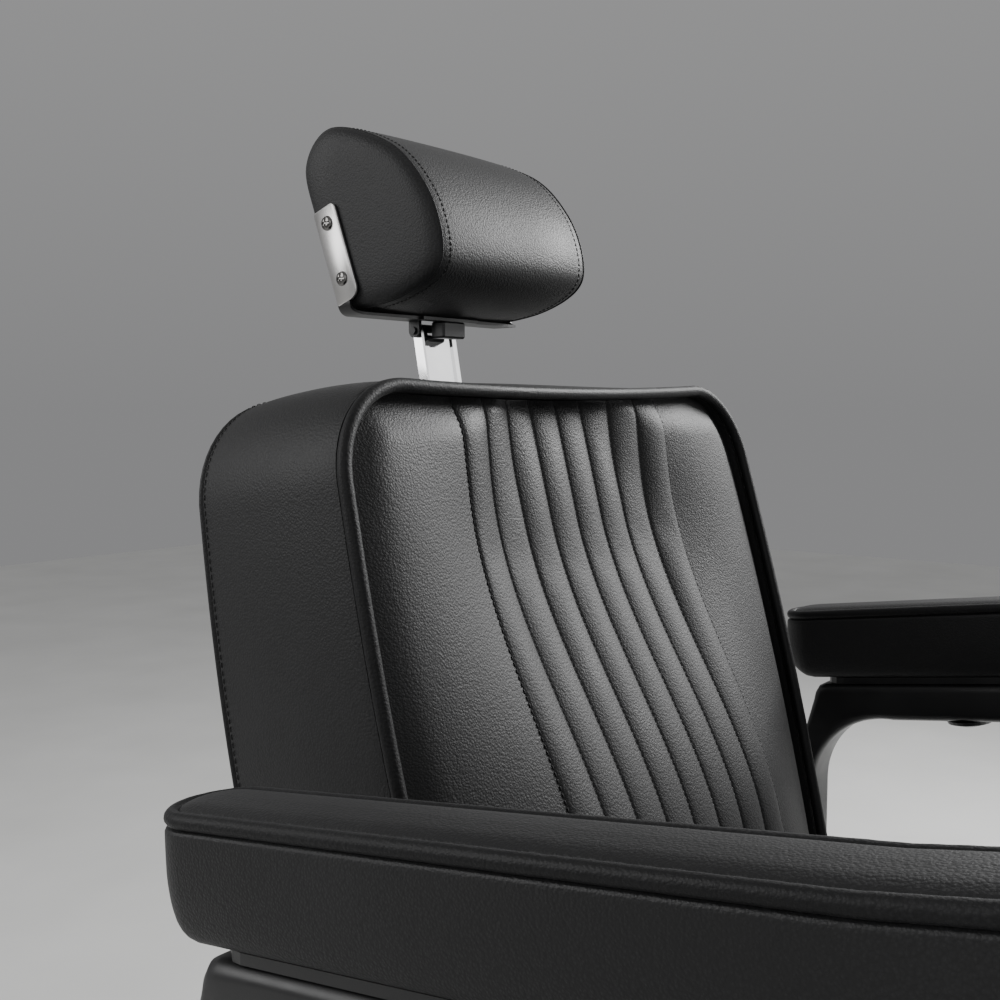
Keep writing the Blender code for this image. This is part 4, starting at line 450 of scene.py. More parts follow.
def curved(points, parts, closed=False):
    """A smooth curve through points."""
    out, n = [], len(points)
    for k in range(n if closed else n - 1):
        near = [(k + j) % n if closed else min(max(k + j, 0), n - 1) for j in (-1, 0, 1, 2)]
        a, b, c, d = (Vector(points[i]) for i in near)
        for j in range(parts):
            t = j / parts
            out.append(0.5 * (2 * b + (c - a) * t + (2 * a - 5 * b + 4 * c - d) * t * t
                              + (3 * b - a - 3 * c + d) * t ** 3))
    return out if closed else out + [Vector(points[-1])]


def directions(points, closed):
    """Unit direction of travel at each point."""
    n = len(points)
    out = []
    for k in range(n):
        before = points[k - 1] if closed or k else points[k]
        after = points[(k + 1) % n] if closed or k < n - 1 else points[k]
        out.append((after - before).normalized())
    return out


def skin(bm, rings, around=True, wrap=False):
    """Faces between rings of points; returns the rings of vertices."""
    made = [[bm.verts.new(p) for p in ring] for ring in rings]
    pairs = list(zip(made, made[1:])) + ([(made[-1], made[0])] if wrap else [])
    for low, high in pairs:
        n = len(low)
        for k in range(n if around else n - 1):
            j = (k + 1) % n
            bm.faces.new((low[k], low[j], high[j], high[k]))
    return made


def cap(bm, rings):
    """Close the first and the last of a row of rings."""
    bm.faces.new(rings[0])
    bm.faces.new(rings[-1])


def cord(name, path, radius, material, facing, closed=True, sides=16, step=0.004, uneven=0.02):
    """A round cord along a path, a little uneven like hand-laid piping."""
    points = spaced(path, step, closed)
    bm = bmesh.new()
    rings = []
    for k, (point, way) in enumerate(zip(points, directions(points, closed))):
        side = way.cross(facing).normalized()
        up = side.cross(way)
        wave = 0.6 * sin(k * 2.1) + 0.4 * sin(k * 0.73)
        r = radius * (1.0 - uneven + uneven * wave)
        rings.append([point + (side * cos(a) + up * sin(a)) * r for a in circle(sides)])
    made = skin(bm, rings, wrap=closed)
    if not closed:
        cap(bm, made)
    return mesh_object(name, bm, material)


def sew(bm, path, normals, pitch=0.0046, length=0.0034, radius=0.00042):
    """Add a row of stitches: short threads that rise out of the leather and dive back."""
    stitch = ((-0.5, -1.2), (-0.32, 0.5), (0.0, 0.75), (0.32, 0.5), (0.5, -1.2))
    points = spaced(path, pitch, False)
    last = len(normals) - 1
    for k, (point, way) in enumerate(zip(points, directions(points, False))):
        up = Vector(normals[round(last * k / max(len(points) - 1, 1))]).normalized()
        side = way.cross(up).normalized()
        rings = []
        for along, lift in stitch:
            middle = point + way * (length * along) + up * (radius * lift)
            rings.append([middle + (side * cos(a) + up * sin(a)) * radius
                          for a in circle(5)])
        skin(bm, rings)


def inflate(obj, pinned, most):
    """Blow a sewn cover up between its seams as cloth, then keep every move within a limit."""
    mesh = obj.data
    rest = [v.co.copy() for v in mesh.vertices]
    group = obj.vertex_groups.new(name="pins")
    group.add(pinned, 1.0, "REPLACE")
    made = obj.modifiers.new("cover", "CLOTH")
    cloth = made.settings
    cloth.quality = 4
    cloth.mass = 0.4
    cloth.tension_stiffness = cloth.compression_stiffness = 30.0
    cloth.shear_stiffness = 10.0
    cloth.bending_stiffness = 2.0
    cloth.use_pressure = True
    cloth.uniform_pressure_force = COVER_PRESSURE
    cloth.effector_weights.gravity = 0.0
    cloth.vertex_group_mass = "pins"
    made.collision_settings.use_collision = False
    made.point_cache.frame_start = 1
    made.point_cache.frame_end = COVER_FRAMES
    scene = bpy.context.scene
    for number in range(1, COVER_FRAMES + 1):
        scene.frame_set(number)
    shown = obj.evaluated_get(bpy.context.evaluated_depsgraph_get())
    moved = [v.co.copy() for v in shown.data.vertices]
    obj.modifiers.remove(made)
    obj.vertex_groups.remove(group)
    for vertex, old, new in zip(mesh.vertices, rest, moved):
        move = new - old
        if move.length > most:
            move *= most / move.length
        vertex.co = old + move
    mesh.update()
    scene.frame_set(1)


def turned(name, profile, material):
    """A turned piece about the chair's own upright axis, from (radius, height) points."""
    bm = bmesh.new()
    cap(bm, skin(bm, [[(r * cos(a), r * sin(a), z) for a in circle(128)]
                      for r, z in profile]))
    return mesh_object(name, bm, material, 28.0)


# Backrest

def front_y(z):
    """Depth of the front piping at a height."""
    return FRONT_TOP_Y - (BACK_TOP - z) * FRONT_LEAN


def rear_y(z):
    """Depth of the rear seam at a height."""
    return REAR_TOP_Y - (BACK_TOP - z) * REAR_LEAN


def half_width(z):
    """Half width of the back at a height."""
    share = min(max((BACK_TOP - z) / (BACK_TOP - BACK_BOTTOM), 0.0), 1.0)
    return BACK_HALF + (BACK_TOP - z) * BACK_FLARE + SIDE_BOW * sin(pi * share)


def back_side(depth, inset, sides=44, turns=14, feet=6):
    """Left edge of the back, bottom to top, as (x, z)."""
    top = BACK_TOP - REAR_SHOULDER * depth - inset
    high_r = max(mix(FRONT_CORNER, REAR_CORNER, depth) - inset, 0.004)
    low_r = max(FOOT_CORNER - inset, 0.004)
    low_z, high_z = BACK_BOTTOM + inset + low_r, top - high_r
    inset = inset + REAR_TAPER * depth
    points = arc(half_width(low_z) - inset - low_r, low_z, low_r, -90, 0, feet)
    for k in range(1, sides):
        z = mix(low_z, high_z, k / sides)
        points.append((half_width(z) - inset, z))
    return points + arc(half_width(high_z) - inset - high_r, high_z, high_r, 0, 90, turns)


def top_bow(x, end_x, depth):
    """Lift of the top edge over its ends: dipped at the front, crowned at the rear."""
    return mix(-TOP_DIP, REAR_CROWN, depth) * (1.0 - min(abs(x) / end_x, 1.0) ** 2)


def back_loop(depth, inset, shift=0.0, spans=60):
    """Closed loop round the back at a depth from 0 (front) to 1 (rear)."""
    side = back_side(depth, inset)
    top_x, top_z = side[-1]
    low_x, low_z = side[0]
    flat = list(side)
    for k in range(1, spans):
        x = mix(top_x, -top_x, k / spans)
        flat.append((x, top_z + top_bow(x, top_x, depth)))
    flat += [(-x, z) for x, z in side[::-1]]
    flat += [(mix(-low_x, low_x, k / spans), low_z) for k in range(1, spans)]
    return [Vector((x, mix(front_y(z), rear_y(z), depth) + shift, z)) for x, z in flat]


def channel_columns(edge):
    """Sideways places, close together at the seams and towards the edge."""
    places = []
    for channel in range(CHANNELS):
        for k in range(CHANNEL_STEPS):
            share = 0.5 - 0.5 * cos(pi * k / CHANNEL_STEPS)
            places.append(-SPAN + PITCH * (channel + share))
    places.append(SPAN)
    outer = [mix(SPAN, edge, sin(pi / 2 * k / MARGIN_STEPS))
             for k in range(1, MARGIN_STEPS + 1)]
    return [-x for x in outer[::-1]] + places + outer


def puff(x):
    """Swell of a channel between its seams, from 0 to 1."""
    if abs(x) >= SPAN:
        return 0.0
    share = (x + SPAN) / PITCH % 1.0
    return sqrt(max(1.0 - (2.0 * share - 1.0) ** 2, 0.0))


def recess(x, z, edge):
    """How far the padded face lies behind the piping."""
    rise = smooth((z - LUMBAR_LOW) / (LUMBAR_HIGH - LUMBAR_LOW))
    middle = mix(-LUMBAR * smooth((z - BACK_BOTTOM) / LUMBAR_RUN), HOLLOW, rise)
    start = FLAT_HALF * mix(0.25, 1.0, smooth((BACK_TOP - z) / TOP_FADE))
    share = min(max((abs(x) - start) / max(edge - start, 0.001), 0.0), 1.0)
    crown = MARGIN_CROWN * sin(pi * share) ** 2
    return middle * 0.5 * (1 + cos(pi * share)) - crown


def grid_rim(grid):
    """Outer loop of a grid of points."""
    return (list(grid[0]) + [row[-1] for row in grid[1:-1]] + list(grid[-1])[::-1]
            + [row[0] for row in grid[-2:0:-1]])


def padded_form(name, grid, rings):
    """A cushion, with a channelled face and a flat back, and the points of it to pin."""
    bm = bmesh.new()
    made = skin(bm, grid, around=False)
    loop = grid_rim(made)
    columns, n = len(grid[0]), len(loop)
    pins = set()
    for r, row in enumerate(made):
        for c, vert in enumerate(row):
            place = (vert.co.x + SPAN) / PITCH
            at_seam = abs(vert.co.x) <= SPAN + 1e-6 and abs(place - round(place)) < 1e-4
            if at_seam or r in (0, len(made) - 1) or c in (0, columns - 1):
                pins.add(vert)
    for ring in rings:
        after = [bm.verts.new(p) for p in ring]
        pins.update(after)
        for k in range(n):
            bm.faces.new((loop[k], after[k], after[(k + 1) % n], loop[(k + 1) % n]))
        loop = after
    bm.faces.new(loop)
    bm.verts.index_update()
    numbers = [v.index for v in pins]
    return mesh_object(name, bm, LEATHER, CUSHION_SHARP), numbers


def back_places(depth, inset):
    """Rows of (x, z) places across the back at a depth, bottom to top."""
    side = back_side(depth, inset)
    last = len(side) - 1
    rows = []
    fade = 12  # rows over which the top edge's bow fades out
    for k, (edge, z_edge) in enumerate(side):
        near_top = smooth((k - last + fade) / fade)
        rows.append([(x, z_edge + top_bow(x, side[-1][0], depth) * near_top)
                     for x in channel_columns(edge)])
    return rows


def back_face(inset):
    """Face of the back cushion: rows of points with the channels in them, bottom to top."""
    rows = back_places(0.0, inset)
    low_z, high_z = rows[0][0][1], rows[-1][0][1]
    grid = []
    for places in rows:
        edge, z_edge = places[-1]
        ends = min(z_edge - low_z, high_z - z_edge)
        row = []
        for x, z in places:
            depth = recess(x, z, edge)
            near_rim = 1.0 - smooth(min(edge - abs(x), ends) / RIM_REACH)
            rim = max(RIM_TUCK - depth, 0.0) * near_rim
            swell = BACK_SWELL * puff(x) * mix(0.4, 1.0, smooth(ends / 0.010))
            row.append(Vector((x, front_y(z) + depth + rim - swell, z)))
        grid.append(row)
    return grid


def seam_rows(grid):
    """The seam lines of a channelled face, without their ends at the piping."""
    columns = [MARGIN_STEPS + seam * CHANNEL_STEPS for seam in range(CHANNELS + 1)]
    return [[row[column] for row in grid[2:-3]] for column in columns]


def boxing_bulge(share):
    """Inset of the boxing band between its seams; below zero where it bulges out."""
    return -BOXING_BULGE * sin(pi * share) ** BULGE_POWER


def dress_back():
    """Channelled cushion, boxing band, rear panel, piping and stitching of the back."""
    inset = BOXING_WALL + 0.0012
    grid = back_face(inset)
    rim = grid_rim(grid)
    depth = 1.0 - BOARD_FRONT / (REAR_TOP_Y - FRONT_TOP_Y)
    flat = [Vector((x, rear_y(z) - BOARD_FRONT - GAP, z))
            for x, z in grid_rim(back_places(depth, inset + 0.0015))]
    fold = [p.lerp(q, 0.12) for p, q in zip(rim, flat)]
    cushion, pins = padded_form("back_padding", grid, [fold, flat])
    inflate(cushion, pins, COVER_MOVE)
    wear(cushion, "back", "leather", "back_cushion")

    bm = bmesh.new()
    forward = Vector((0, -1, FRONT_LEAN)).normalized()
    for line in seam_rows(grid):
        sew(bm, [p + forward * GAP for p in line], [forward])
    wear(mesh_object("back_seam_stitches", bm, THREAD), "back", "leather")

    steps, seam_depth, seam_from, front_fade = 30, 0.0016, 0.985, 0.08
    rings = []
    for k in range(steps + 1):
        share = 1.0 - (1.0 - k / steps) ** 1.5
        bulge = boxing_bulge(share) if 0 < k < steps else 0.0
        groove = seam_depth * smooth((share - seam_from) / 0.015)
        behind = (WELT + GAP) * (1.0 - smooth(share / front_fade))
        rings.append(back_loop(share, bulge + groove, behind))
    rings += [back_loop(1.0, BOXING_WALL, -GAP), back_loop(0.0, BOXING_WALL, WELT + GAP)]
    bm = bmesh.new()
    skin(bm, rings, wrap=True)
    boxing = mesh_object("back_boxing_band", bm, LEATHER, COVER_SHARP)
    wear(boxing, "back", "leather", "back_boxing")

    # Stitches of the rear seam; the cubes turn their lift straight out, even round the corners
    bm = bmesh.new()
    line = back_loop(REAR_SEAM, boxing_bulge(REAR_SEAM) - GAP)
    outward = [Vector((p.x / 0.25, 0, (p.z - 0.66) / 0.22)) for p in line]
    outward = [Vector((round(o.x ** 3, 4), 0, round(o.z ** 3, 4))) for o in outward]
    sew(bm, line + line[:1], outward, 0.0052, 0.0038)
    wear(mesh_object("back_boxing_stitches", bm, THREAD), "back", "leather")

    bm = bmesh.new()
    cap(bm, skin(bm, [back_loop(1.0, p.x, p.y) for p in curved(REAR_PANEL, 4)]))
    panel = mesh_object("back_panel", bm, LEATHER, COVER_SHARP)
    wear(panel, "back", "leather", "back_rear_panel")

    welt = cord("back_piping", back_loop(0.0, 0.0022), WELT, LEATHER_WELT,
                Vector((0, -1, FRONT_LEAN)))
    wear(welt, "back", "leather", "back_welt")


# Seat

def seat_edge(y, inset):
    """Half width of the seat at a depth, with round corners."""
    half = SEAT_WIDTH / 2 - inset
    for end, corner, sign in ((SEAT_FRONT, SEAT_FRONT_CORNER, 1),
                              (SEAT_REAR, SEAT_REAR_CORNER, -1)):
        into = (y - end) * sign - inset
        corner = corner - inset
        if into < corner:
            half -= corner - sqrt(max(corner ** 2 - (corner - into) ** 2, 0.0))
    return half


def seat_depths(inset, turns=12, sides=44):
    """Depths of the seat's rows, close together round its corners."""
    front, rear = SEAT_FRONT + inset, SEAT_REAR - inset
    round_off = [1 - cos(pi / 2 * k / turns) for k in range(turns)]
    nose = [front + (SEAT_FRONT_CORNER - inset) * share for share in round_off]
    heel = [rear - (SEAT_REAR_CORNER - inset) * share for share in round_off]
    start, stop = SEAT_FRONT + SEAT_FRONT_CORNER, SEAT_REAR - SEAT_REAR_CORNER
    return nose + [mix(start, stop, k / sides) for k in range(sides + 1)] + heel[::-1]


def seat_top(y):
    """Height of the seat's piping at a depth."""
    return CUSHION_Z + SEAT_WELT_HEIGHT + (SEAT_REAR - y) * SEAT_SLOPE


def dress_seat():
    """Channelled seat cushion with its piping and stitching."""
    inset = WELT + 0.001
    side_reach, end_reach, swell_reach, tuck_reach = 0.070, 0.055, 0.014, 0.008
    grid = []
    for y in seat_depths(inset):
        edge = max(seat_edge(y, inset), SPAN + 0.02)
        end = min(y - SEAT_FRONT - inset, SEAT_REAR - inset - y)
        row = []
        for x in channel_columns(edge):
            away = edge - abs(x)
            crown = SEAT_CROWN * smooth(away / side_reach) * smooth(end / end_reach)
            swell = SEAT_SWELL * puff(x) * smooth(end / swell_reach)
            tuck = inset * (1.0 - smooth(min(away, end) / tuck_reach))
            row.append(Vector((x, y, seat_top(y) - tuck + crown + swell)))
        grid.append(row)
    rim = grid_rim(grid)
    middle = (SEAT_FRONT + SEAT_REAR) / 2
    rings = []
    for p in curved(SEAT_SIDE, 4):
        share, draw = p.x, p.y
        if share:
            sx = 1.0 - draw / (SEAT_WIDTH / 2)
            sy = 1.0 - draw / (SEAT_REAR - SEAT_FRONT) * 2
            rings.append([Vector((q.x * sx, middle + (q.y - middle) * sy,
                                  mix(seat_top(q.y) - inset, CUSHION_Z, share))) for q in rim])
    cushion, pins = padded_form("seat_padding", grid, rings)
    inflate(cushion, pins, COVER_MOVE)
    wear(cushion, "seat", "leather", "seat_cushion")

    bm = bmesh.new()
    for line in seam_rows(grid):
        sew(bm, [p + Vector((0, 0, GAP)) for p in line], [(0, SEAT_SLOPE, 1)])
    wear(mesh_object("seat_seam_stitches", bm, THREAD), "seat", "leather")

    side = [(seat_edge(y, SEAT_WELT_INSET), y) for y in seat_depths(SEAT_WELT_INSET)]
    loop = side + [(-x, y) for x, y in side[::-1]]
    welt = cord("seat_piping", [(x, y, seat_top(y)) for x, y in loop], WELT, LEATHER_WELT,
                Vector((0, 0, 1)))
    wear(welt, "seat", "leather", "seat_welt")


# Arms

def arm_top(y):
    """Height of an arm pad's top edge."""
    return ARM_TOP - ARM_RISE * y + ARM_NOSE_RISE * max(ARM_KINK - y, 0.0)


def arm_ring(sign, inset, drop, turns=20, sides=56):
    """One ring of an arm pad, at a depth below its top edge."""
    r = max(ARM_WIDTH / 2 - inset, 0.0006)
    rear, front = ARM_REAR - ARM_WIDTH / 2, ARM_FRONT + ARM_WIDTH / 2
    plan = arc(0, rear, r, 0, 180, turns)
    plan += [(-r, mix(rear, front, k / sides)) for k in range(1, sides)]
    plan += arc(0, front, r, 180, 360, turns)
    plan += [(r, mix(front, rear, k / sides)) for k in range(1, sides)]
    sweep = ARM_LIFT * smooth((drop / ARM_PAD - ARM_LIFT_FROM) / (1.0 - ARM_LIFT_FROM))
    ring = []
    for x, y in plan:
        lift = sweep * smooth((y - ARM_REAR + ARM_LIFT_REACH) / ARM_LIFT_REACH)
        ring.append(Vector((sign * ARM_MID_X + x, y, arm_top(y) - drop + lift)))
    return ring


def lid(bm, ring):
    """Close an arm pad's ring with narrow faces straight across it, starting at its rear tip."""
    tip = 10  # half of the turns at the rear
    around = ring[tip:] + ring[:tip]
    n = len(around)
    for k in range(n // 2):
        face = [around[k], around[k + 1], around[n - k - 1], around[-k]]
        bm.faces.new(list(dict.fromkeys(face)))


def loop_outlines():
    """Outer and inner (y, z) outlines of an arm loop, with matching points."""
    def beam_top(y):
        return arm_top(y) - LOOP_DROP

    def corner_arc(y, z, radius, start):
        return arc(y, z, radius, start, start + 90, 24)

    arch, foot, heel, edge, nose = ARCH, LOOP_FOOT, LOOP_HEEL, SHOULDER_EDGE, COLUMN_FRONT
    rear, front = COLUMN_REAR - REAR_COLUMN, COLUMN_FRONT + FRONT_COLUMN
    sill = RAIL_Z + SILL
    beam = [(rear - arch, beam_top(rear - arch)), (front + arch, beam_top(front + arch))]
    springs = [top - BEAM - arch for y, top in beam]
    shoulder = beam_top(SHOULDER) - edge
    heights = [mix(springs[0], shoulder, k / 12) for k in range(12)]
    column = [(min(SHOULDER + (shoulder - z) * COLUMN_LEAN, COLUMN_REAR), z) for z in heights]
    # Pairs of an outer and an inner run, round the loop from the foot of the rear arch
    stretches = (
        (column + bend((SHOULDER, shoulder), (SHOULDER, beam_top(SHOULDER)),
                       (SHOULDER - edge, beam_top(SHOULDER - edge))) + beam[:1],
         corner_arc(rear - arch, springs[0], arch, 0)),
        (beam, [(y, top - BEAM) for y, top in beam]),
        ([beam[1], (ARM_KINK, beam_top(ARM_KINK))]
         + bend((nose + edge, beam_top(nose + edge)), (nose, beam_top(nose)),
                (nose, beam_top(nose) - edge)) + [(nose, springs[1])],
         corner_arc(front + arch, springs[1], arch, 90)),
        ([(nose, springs[1]), (nose, RAIL_Z + heel)], [(front, springs[1]), (front, sill + foot)]),
        (bend((nose, RAIL_Z + heel), (nose, RAIL_Z), (nose + heel, RAIL_Z))
         + [(front + foot, RAIL_Z)], corner_arc(front + foot, sill + foot, foot, 180)),
        ([(front + foot, RAIL_Z), (rear - foot, RAIL_Z)],
         [(front + foot, sill), (rear - foot, sill)]),
        ([(rear - foot, RAIL_Z)] + bend((COLUMN_REAR - heel, RAIL_Z), (COLUMN_REAR, RAIL_Z),
                                        (COLUMN_REAR, RAIL_Z + heel)),
         corner_arc(rear - foot, sill + foot, foot, 270)),
        ([(COLUMN_REAR, RAIL_Z + heel), column[0]], [(rear, sill + foot), (rear, springs[0])]))
    outer, inner = [], []
    for out, inn in stretches:
        outer += evenly(out, 24)[:-1]
        inner += evenly(inn, 24)[:-1]
    return outer, inner


def dress_loop(side, sign):
    """Cast loop of one arm with round edges, and its two socket screws."""
    outer, inner = loop_outlines()
    half, edge, share = LOOP_WIDTH / 2, LOOP_EDGE, LOOP_EDGE_SHARE
    section = []
    for x, place, start in ((edge - half, share, 180), (half - edge, share, 270),
                            (half - edge, 1 - share, 0), (edge - half, 1 - share, 90)):
        section += [(x + edge * a, place + share * b)
                    for a, b in arc(0, 0, 1, start, start + 90, 7)]
    bm = bmesh.new()
    skin(bm, [[(sign * (ARM_MID_X + x), *a.lerp(b, place)) for a, b in zip(outer, inner)]
              for x, place in section], wrap=True)
    face = ARM_MID_X + half - 0.0005
    for y in LOOP_BOLTS:
        cap(bm, skin(bm, [[(sign * (face + out), y + r * BOLT * cos(a),
                            BAR_Z + r * BOLT * sin(a)) for a in circle(32)]
                          for out, r in SOCKET_SCREW]))
    wear(mesh_object("arm_loop_" + side, bm, PAINT, 38.0), "seat", "black_alloy",
         "arm_frame_" + side)


def dress_arm(side, sign):
    """Pad, piping and loop of one arm."""
    t, w = ARM_PAD, ARM_WELT
    # Inset and drop of the pad's rings: up its side to the piping, then from there over its top
    lower = curved([(ARM_TAPER + 0.006, t), (ARM_TAPER + 0.001, t - 0.0012),
                    (ARM_TAPER * 0.60, t - 0.0080), (0.0014, t * 0.62),
                    (0.0006, w * 2 + 0.0060), (0.0010, w * 2 + 0.0012),
                    (w * 0.6, w * 2 + 0.0002)], 4)
    upper = curved([(w * 1.7, w * 1.2), (w * 1.72, w * 0.55), (w * 2.1, w * 0.12),
                    (ARM_WIDTH * 0.26, -0.0016), (ARM_WIDTH * 0.40, -0.0023),
                    (ARM_WIDTH * 0.50, -0.0025)], 4)
    bm = bmesh.new()
    made = skin(bm, [arm_ring(sign, p.x, p.y) for p in lower + upper])
    lid(bm, made[0])
    lid(bm, made[-1])
    pad = mesh_object("arm_padding_" + side, bm, LEATHER, COVER_SHARP)
    wear(pad, "seat", "leather", "arm_pad_" + side)
    welt = cord("arm_piping_" + side, arm_ring(sign, w, w), w, LEATHER_WELT, Vector((0, 0, 1)))
    wear(welt, "seat", "leather", "arm_welt_" + side)
    dress_loop(side, sign)


# Headrest

def head_profile(scale):
    """Side view of the headrest pad, as (y, z) points."""
    outline = [(PIN_Y + y * HEAD_TALL, PIN_Z + z * HEAD_TALL) for y, z in HEAD_OUTLINE]
    middle = Vector((PIN_Y + HEAD_MID_Y, PIN_Z + HEAD_MID_Z))
    return [middle.lerp(p, scale) for p in curved(outline, 9, True)]


def dress_headrest():
    """Headrest pad with beaded caps and stitching beside them, then its screws and bracket."""
    half, seam = HEAD_HALF, HEAD_HALF - HEAD_CAP
    # Places sideways and sizes of the side view: over the cap to its seam, then to the middle
    end_cap = curved([(half, 0.40), (half - 0.0003, 0.68), (half - 0.0016, 0.86),
                      (half - 0.0042, 0.957), (seam + 0.0012, 1.001),
                      (seam + 0.0003, 0.998)], 5)
    body = curved([(seam - 0.0003, 0.998), (seam - 0.0012, 1.005), (seam - 0.006, 1.016),
                   (half * 0.72, 1.026), (half * 0.4, 1.033), (0.0, 1.035)], 6)
    one_side = end_cap + body
    both = [(p.x, p.y) for p in one_side] + [(-p.x, p.y) for p in one_side[-2::-1]]
    bm = bmesh.new()
    made = skin(bm, [[(x, p.x, p.y) for p in head_profile(size)] for x, size in both])
    cap(bm, made)
    pins = [v for ring, (x, size) in zip(made, both)
            if abs(abs(x) - seam) < 0.004 or size < 0.8 for v in ring]
    bm.verts.index_update()
    numbers = [v.index for v in pins]
    pad = mesh_object("headrest_padding", bm, LEATHER, COVER_SHARP)
    inflate(pad, numbers, HEAD_MOVE)
    wear(pad, "headrest", "leather", "headrest_pad")

    threads = bmesh.new()
    size = next(p.y for p in body if p.x <= seam - HEAD_ROW)
    for name, sign in SIDES:
        line = [Vector((sign * seam, p.x, p.y)) for p in head_profile(1.001)]
        bead = cord("headrest_piping_" + name, line, HEAD_BEAD, LEATHER_WELT, Vector((1, 0, 0)),
                    step=0.003)
        wear(bead, "headrest", "leather")
        row = [Vector((sign * (seam - HEAD_ROW), p.x, p.y)) for p in head_profile(size)]
        middle = Vector((sign * (seam - HEAD_ROW * 3), PIN_Y + HEAD_MID_Y, PIN_Z + HEAD_MID_Z))
        sew(threads, row + row[:1], [p - middle for p in row], 0.0042, 0.0031, 0.00036)
    wear(mesh_object("headrest_stitches", threads, THREAD), "headrest", "leather")

    for name, sign in SIDES:
        for height in ("lower", "upper"):
            cross_head(f"ear_screw_{height}_{name}", sign)
    dress_bracket()


def ear_outline(inset):
    """Side view of a bracket ear: a leaning strip with a radius of its own at each corner."""
    up = Vector((sin(EAR_LEAN), cos(EAR_LEAN)))
    back = Vector((cos(EAR_LEAN), -sin(EAR_LEAN)))
    foot = Vector((PIN_Y + EAR_FOOT_Y, PIN_Z + EAR_FOOT_Z)) - up * EAR_TAIL
    half, tall = EAR_WIDTH / 2, EAR_HEIGHT + EAR_TAIL
    outline = []
    for side, end, radius, start in EAR_CORNERS:
        a, b = side * (half - radius), mix(radius, tall - radius, end)
        outline += [foot + back * p + up * q
                    for p, q in arc(a, b, radius - inset, start, start + 90, 8)]
    return outline


def dress_bracket():
    """Satin ears on a strap that is bent up at both ends, with lugs for the tilt pin; the strap's
    black paint is painted shade.
    """
    edge = SHEET_EDGE
    inside, outside = EAR_INSIDE, EAR_INSIDE + STRAP_THICK
    bm = bmesh.new()
    for _, sign in SIDES:
        cap(bm, skin(bm, [[(sign * x, p.x, p.y) for p in ear_outline(inset)] for x, inset in (
            (inside, edge), (inside + edge, 0.0), (outside - edge, 0.0), (outside, edge))]))
    wear(mesh_object("headrest_ears", bm, SATIN, 50.0), "headrest", "satin_steel",
         "headrest_bracket")

    # Each station of the strap: its outer and inner (x, z), and its front and rear
    turn, room = STRAP_BEND, POST_ROOM
    low, high, neck = PIN_Y - STRAP_FRONT, PIN_Y + STRAP_REAR, PIN_Y - STRAP_NECK
    rise, top = PIN_Z + STRAP_RISE - STRAP_THICK / 2, PIN_Z + EAR_FOOT_Z
    turn_x = outside - edge - turn
    outer = [(outside - edge, top)] + arc(turn_x, rise + turn, turn, 0, -90, 10)
    inner = [(inside, top)] + arc(turn_x, rise + turn, turn - STRAP_THICK + edge, 0, -90, 10)
    stations = [(a, b, mix(neck, low, smooth(k / 8 - 0.5)), high)
                for k, (a, b) in enumerate(zip(outer, inner))]
    notch = PIN_Y - STRAP_NOTCH
    bridge = notch - STRAP_WEB
    for x, front, rear in ((room + STRAP_WEB, low, high), (room + STRAP_WEB, bridge, high),
                           (room, bridge, high), (room, bridge, notch)):
        stations.append(((x, rise), (x, rise + STRAP_THICK), front, rear))
    both = [(1, s) for s in stations] + [(-1, s) for s in stations[::-1]]
    bm = bmesh.new()
    cap(bm, skin(bm, [[(sign * a[0], front, a[1]), (sign * a[0], rear, a[1]),
                       (sign * b[0], rear, b[1]), (sign * b[0], front, b[1])]
                      for sign, (a, b, front, rear) in both]))
    lug = arc(PIN_Y, PIN_Z, LUG_RADIUS, 180, 360, 16)
    lug += [(PIN_Y + LUG_RADIUS, rise + edge), (PIN_Y - LUG_RADIUS, rise + edge)]
    for _, sign in SIDES:
        cap(bm, skin(bm, [[(sign * x, y, z) for y, z in lug] for x in (room, room + LUG_THICK)]))
    # The strap gets black paint as painted shade under the pad, though the ears of the same bracket
    # are satin
    wear(mesh_object("headrest_strap", bm, PAINT, 30.0), "headrest", "black_steel")


def cross_head(node, sign):
    """A pan-head screw with a cross recess in place of a plain screw head."""
    slot_half, slot_reach, slot_depth, dome_power = 0.13, 0.62, 0.62, 2.6
    low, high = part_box(node)
    centre = (Vector(low) + Vector(high)) / 2
    radius, tall = (high[2] - low[2]) / 2, high[0] - low[0]
    base_x = low[0] if sign > 0 else high[0]
    rounds = 10
    rings = []
    for k in range(rounds + 1):
        out = 1.0 - k / rounds
        rise = tall * min(1.0, sqrt(max(1.0 - out ** dome_power, 0.0)) * 1.05)
        ring = []
        for angle in circle(48):
            a = radius * max(out, 0.01) * cos(angle)
            b = radius * max(out, 0.01) * sin(angle)
            narrow, wide = sorted((abs(a), abs(b)))
            in_slot = narrow < radius * slot_half and wide < radius * slot_reach
            height = rise - (tall * slot_depth if in_slot else 0.0)
            ring.append((base_x + sign * height, centre.y + a, centre.z + b))
        rings.append(ring)
    bm = bmesh.new()
    cap(bm, skin(bm, rings))
    wear(mesh_object(node + "_head", bm, NICKEL, 30.0), "headrest", "satin_steel", node)


# Metal, wood and rubber

def dress_base():
    """Rounder dome and rim of the base."""
    outside = [(p.x, p.y) for p in curved(DOME, 8)]
    dome = turned("base_dome", [DOME_INSIDE[0], *outside, DOME_INSIDE[1]], CHROME)
    wear(dome, "base", "chrome", "base_cover")
    ring = turned("base_rubber", [*RIM_START, *arc(*RIM_ROUND, 0, 90, 10), *RIM_END], RUBBER)
    wear(ring, "base", "rubber", "base_rim")


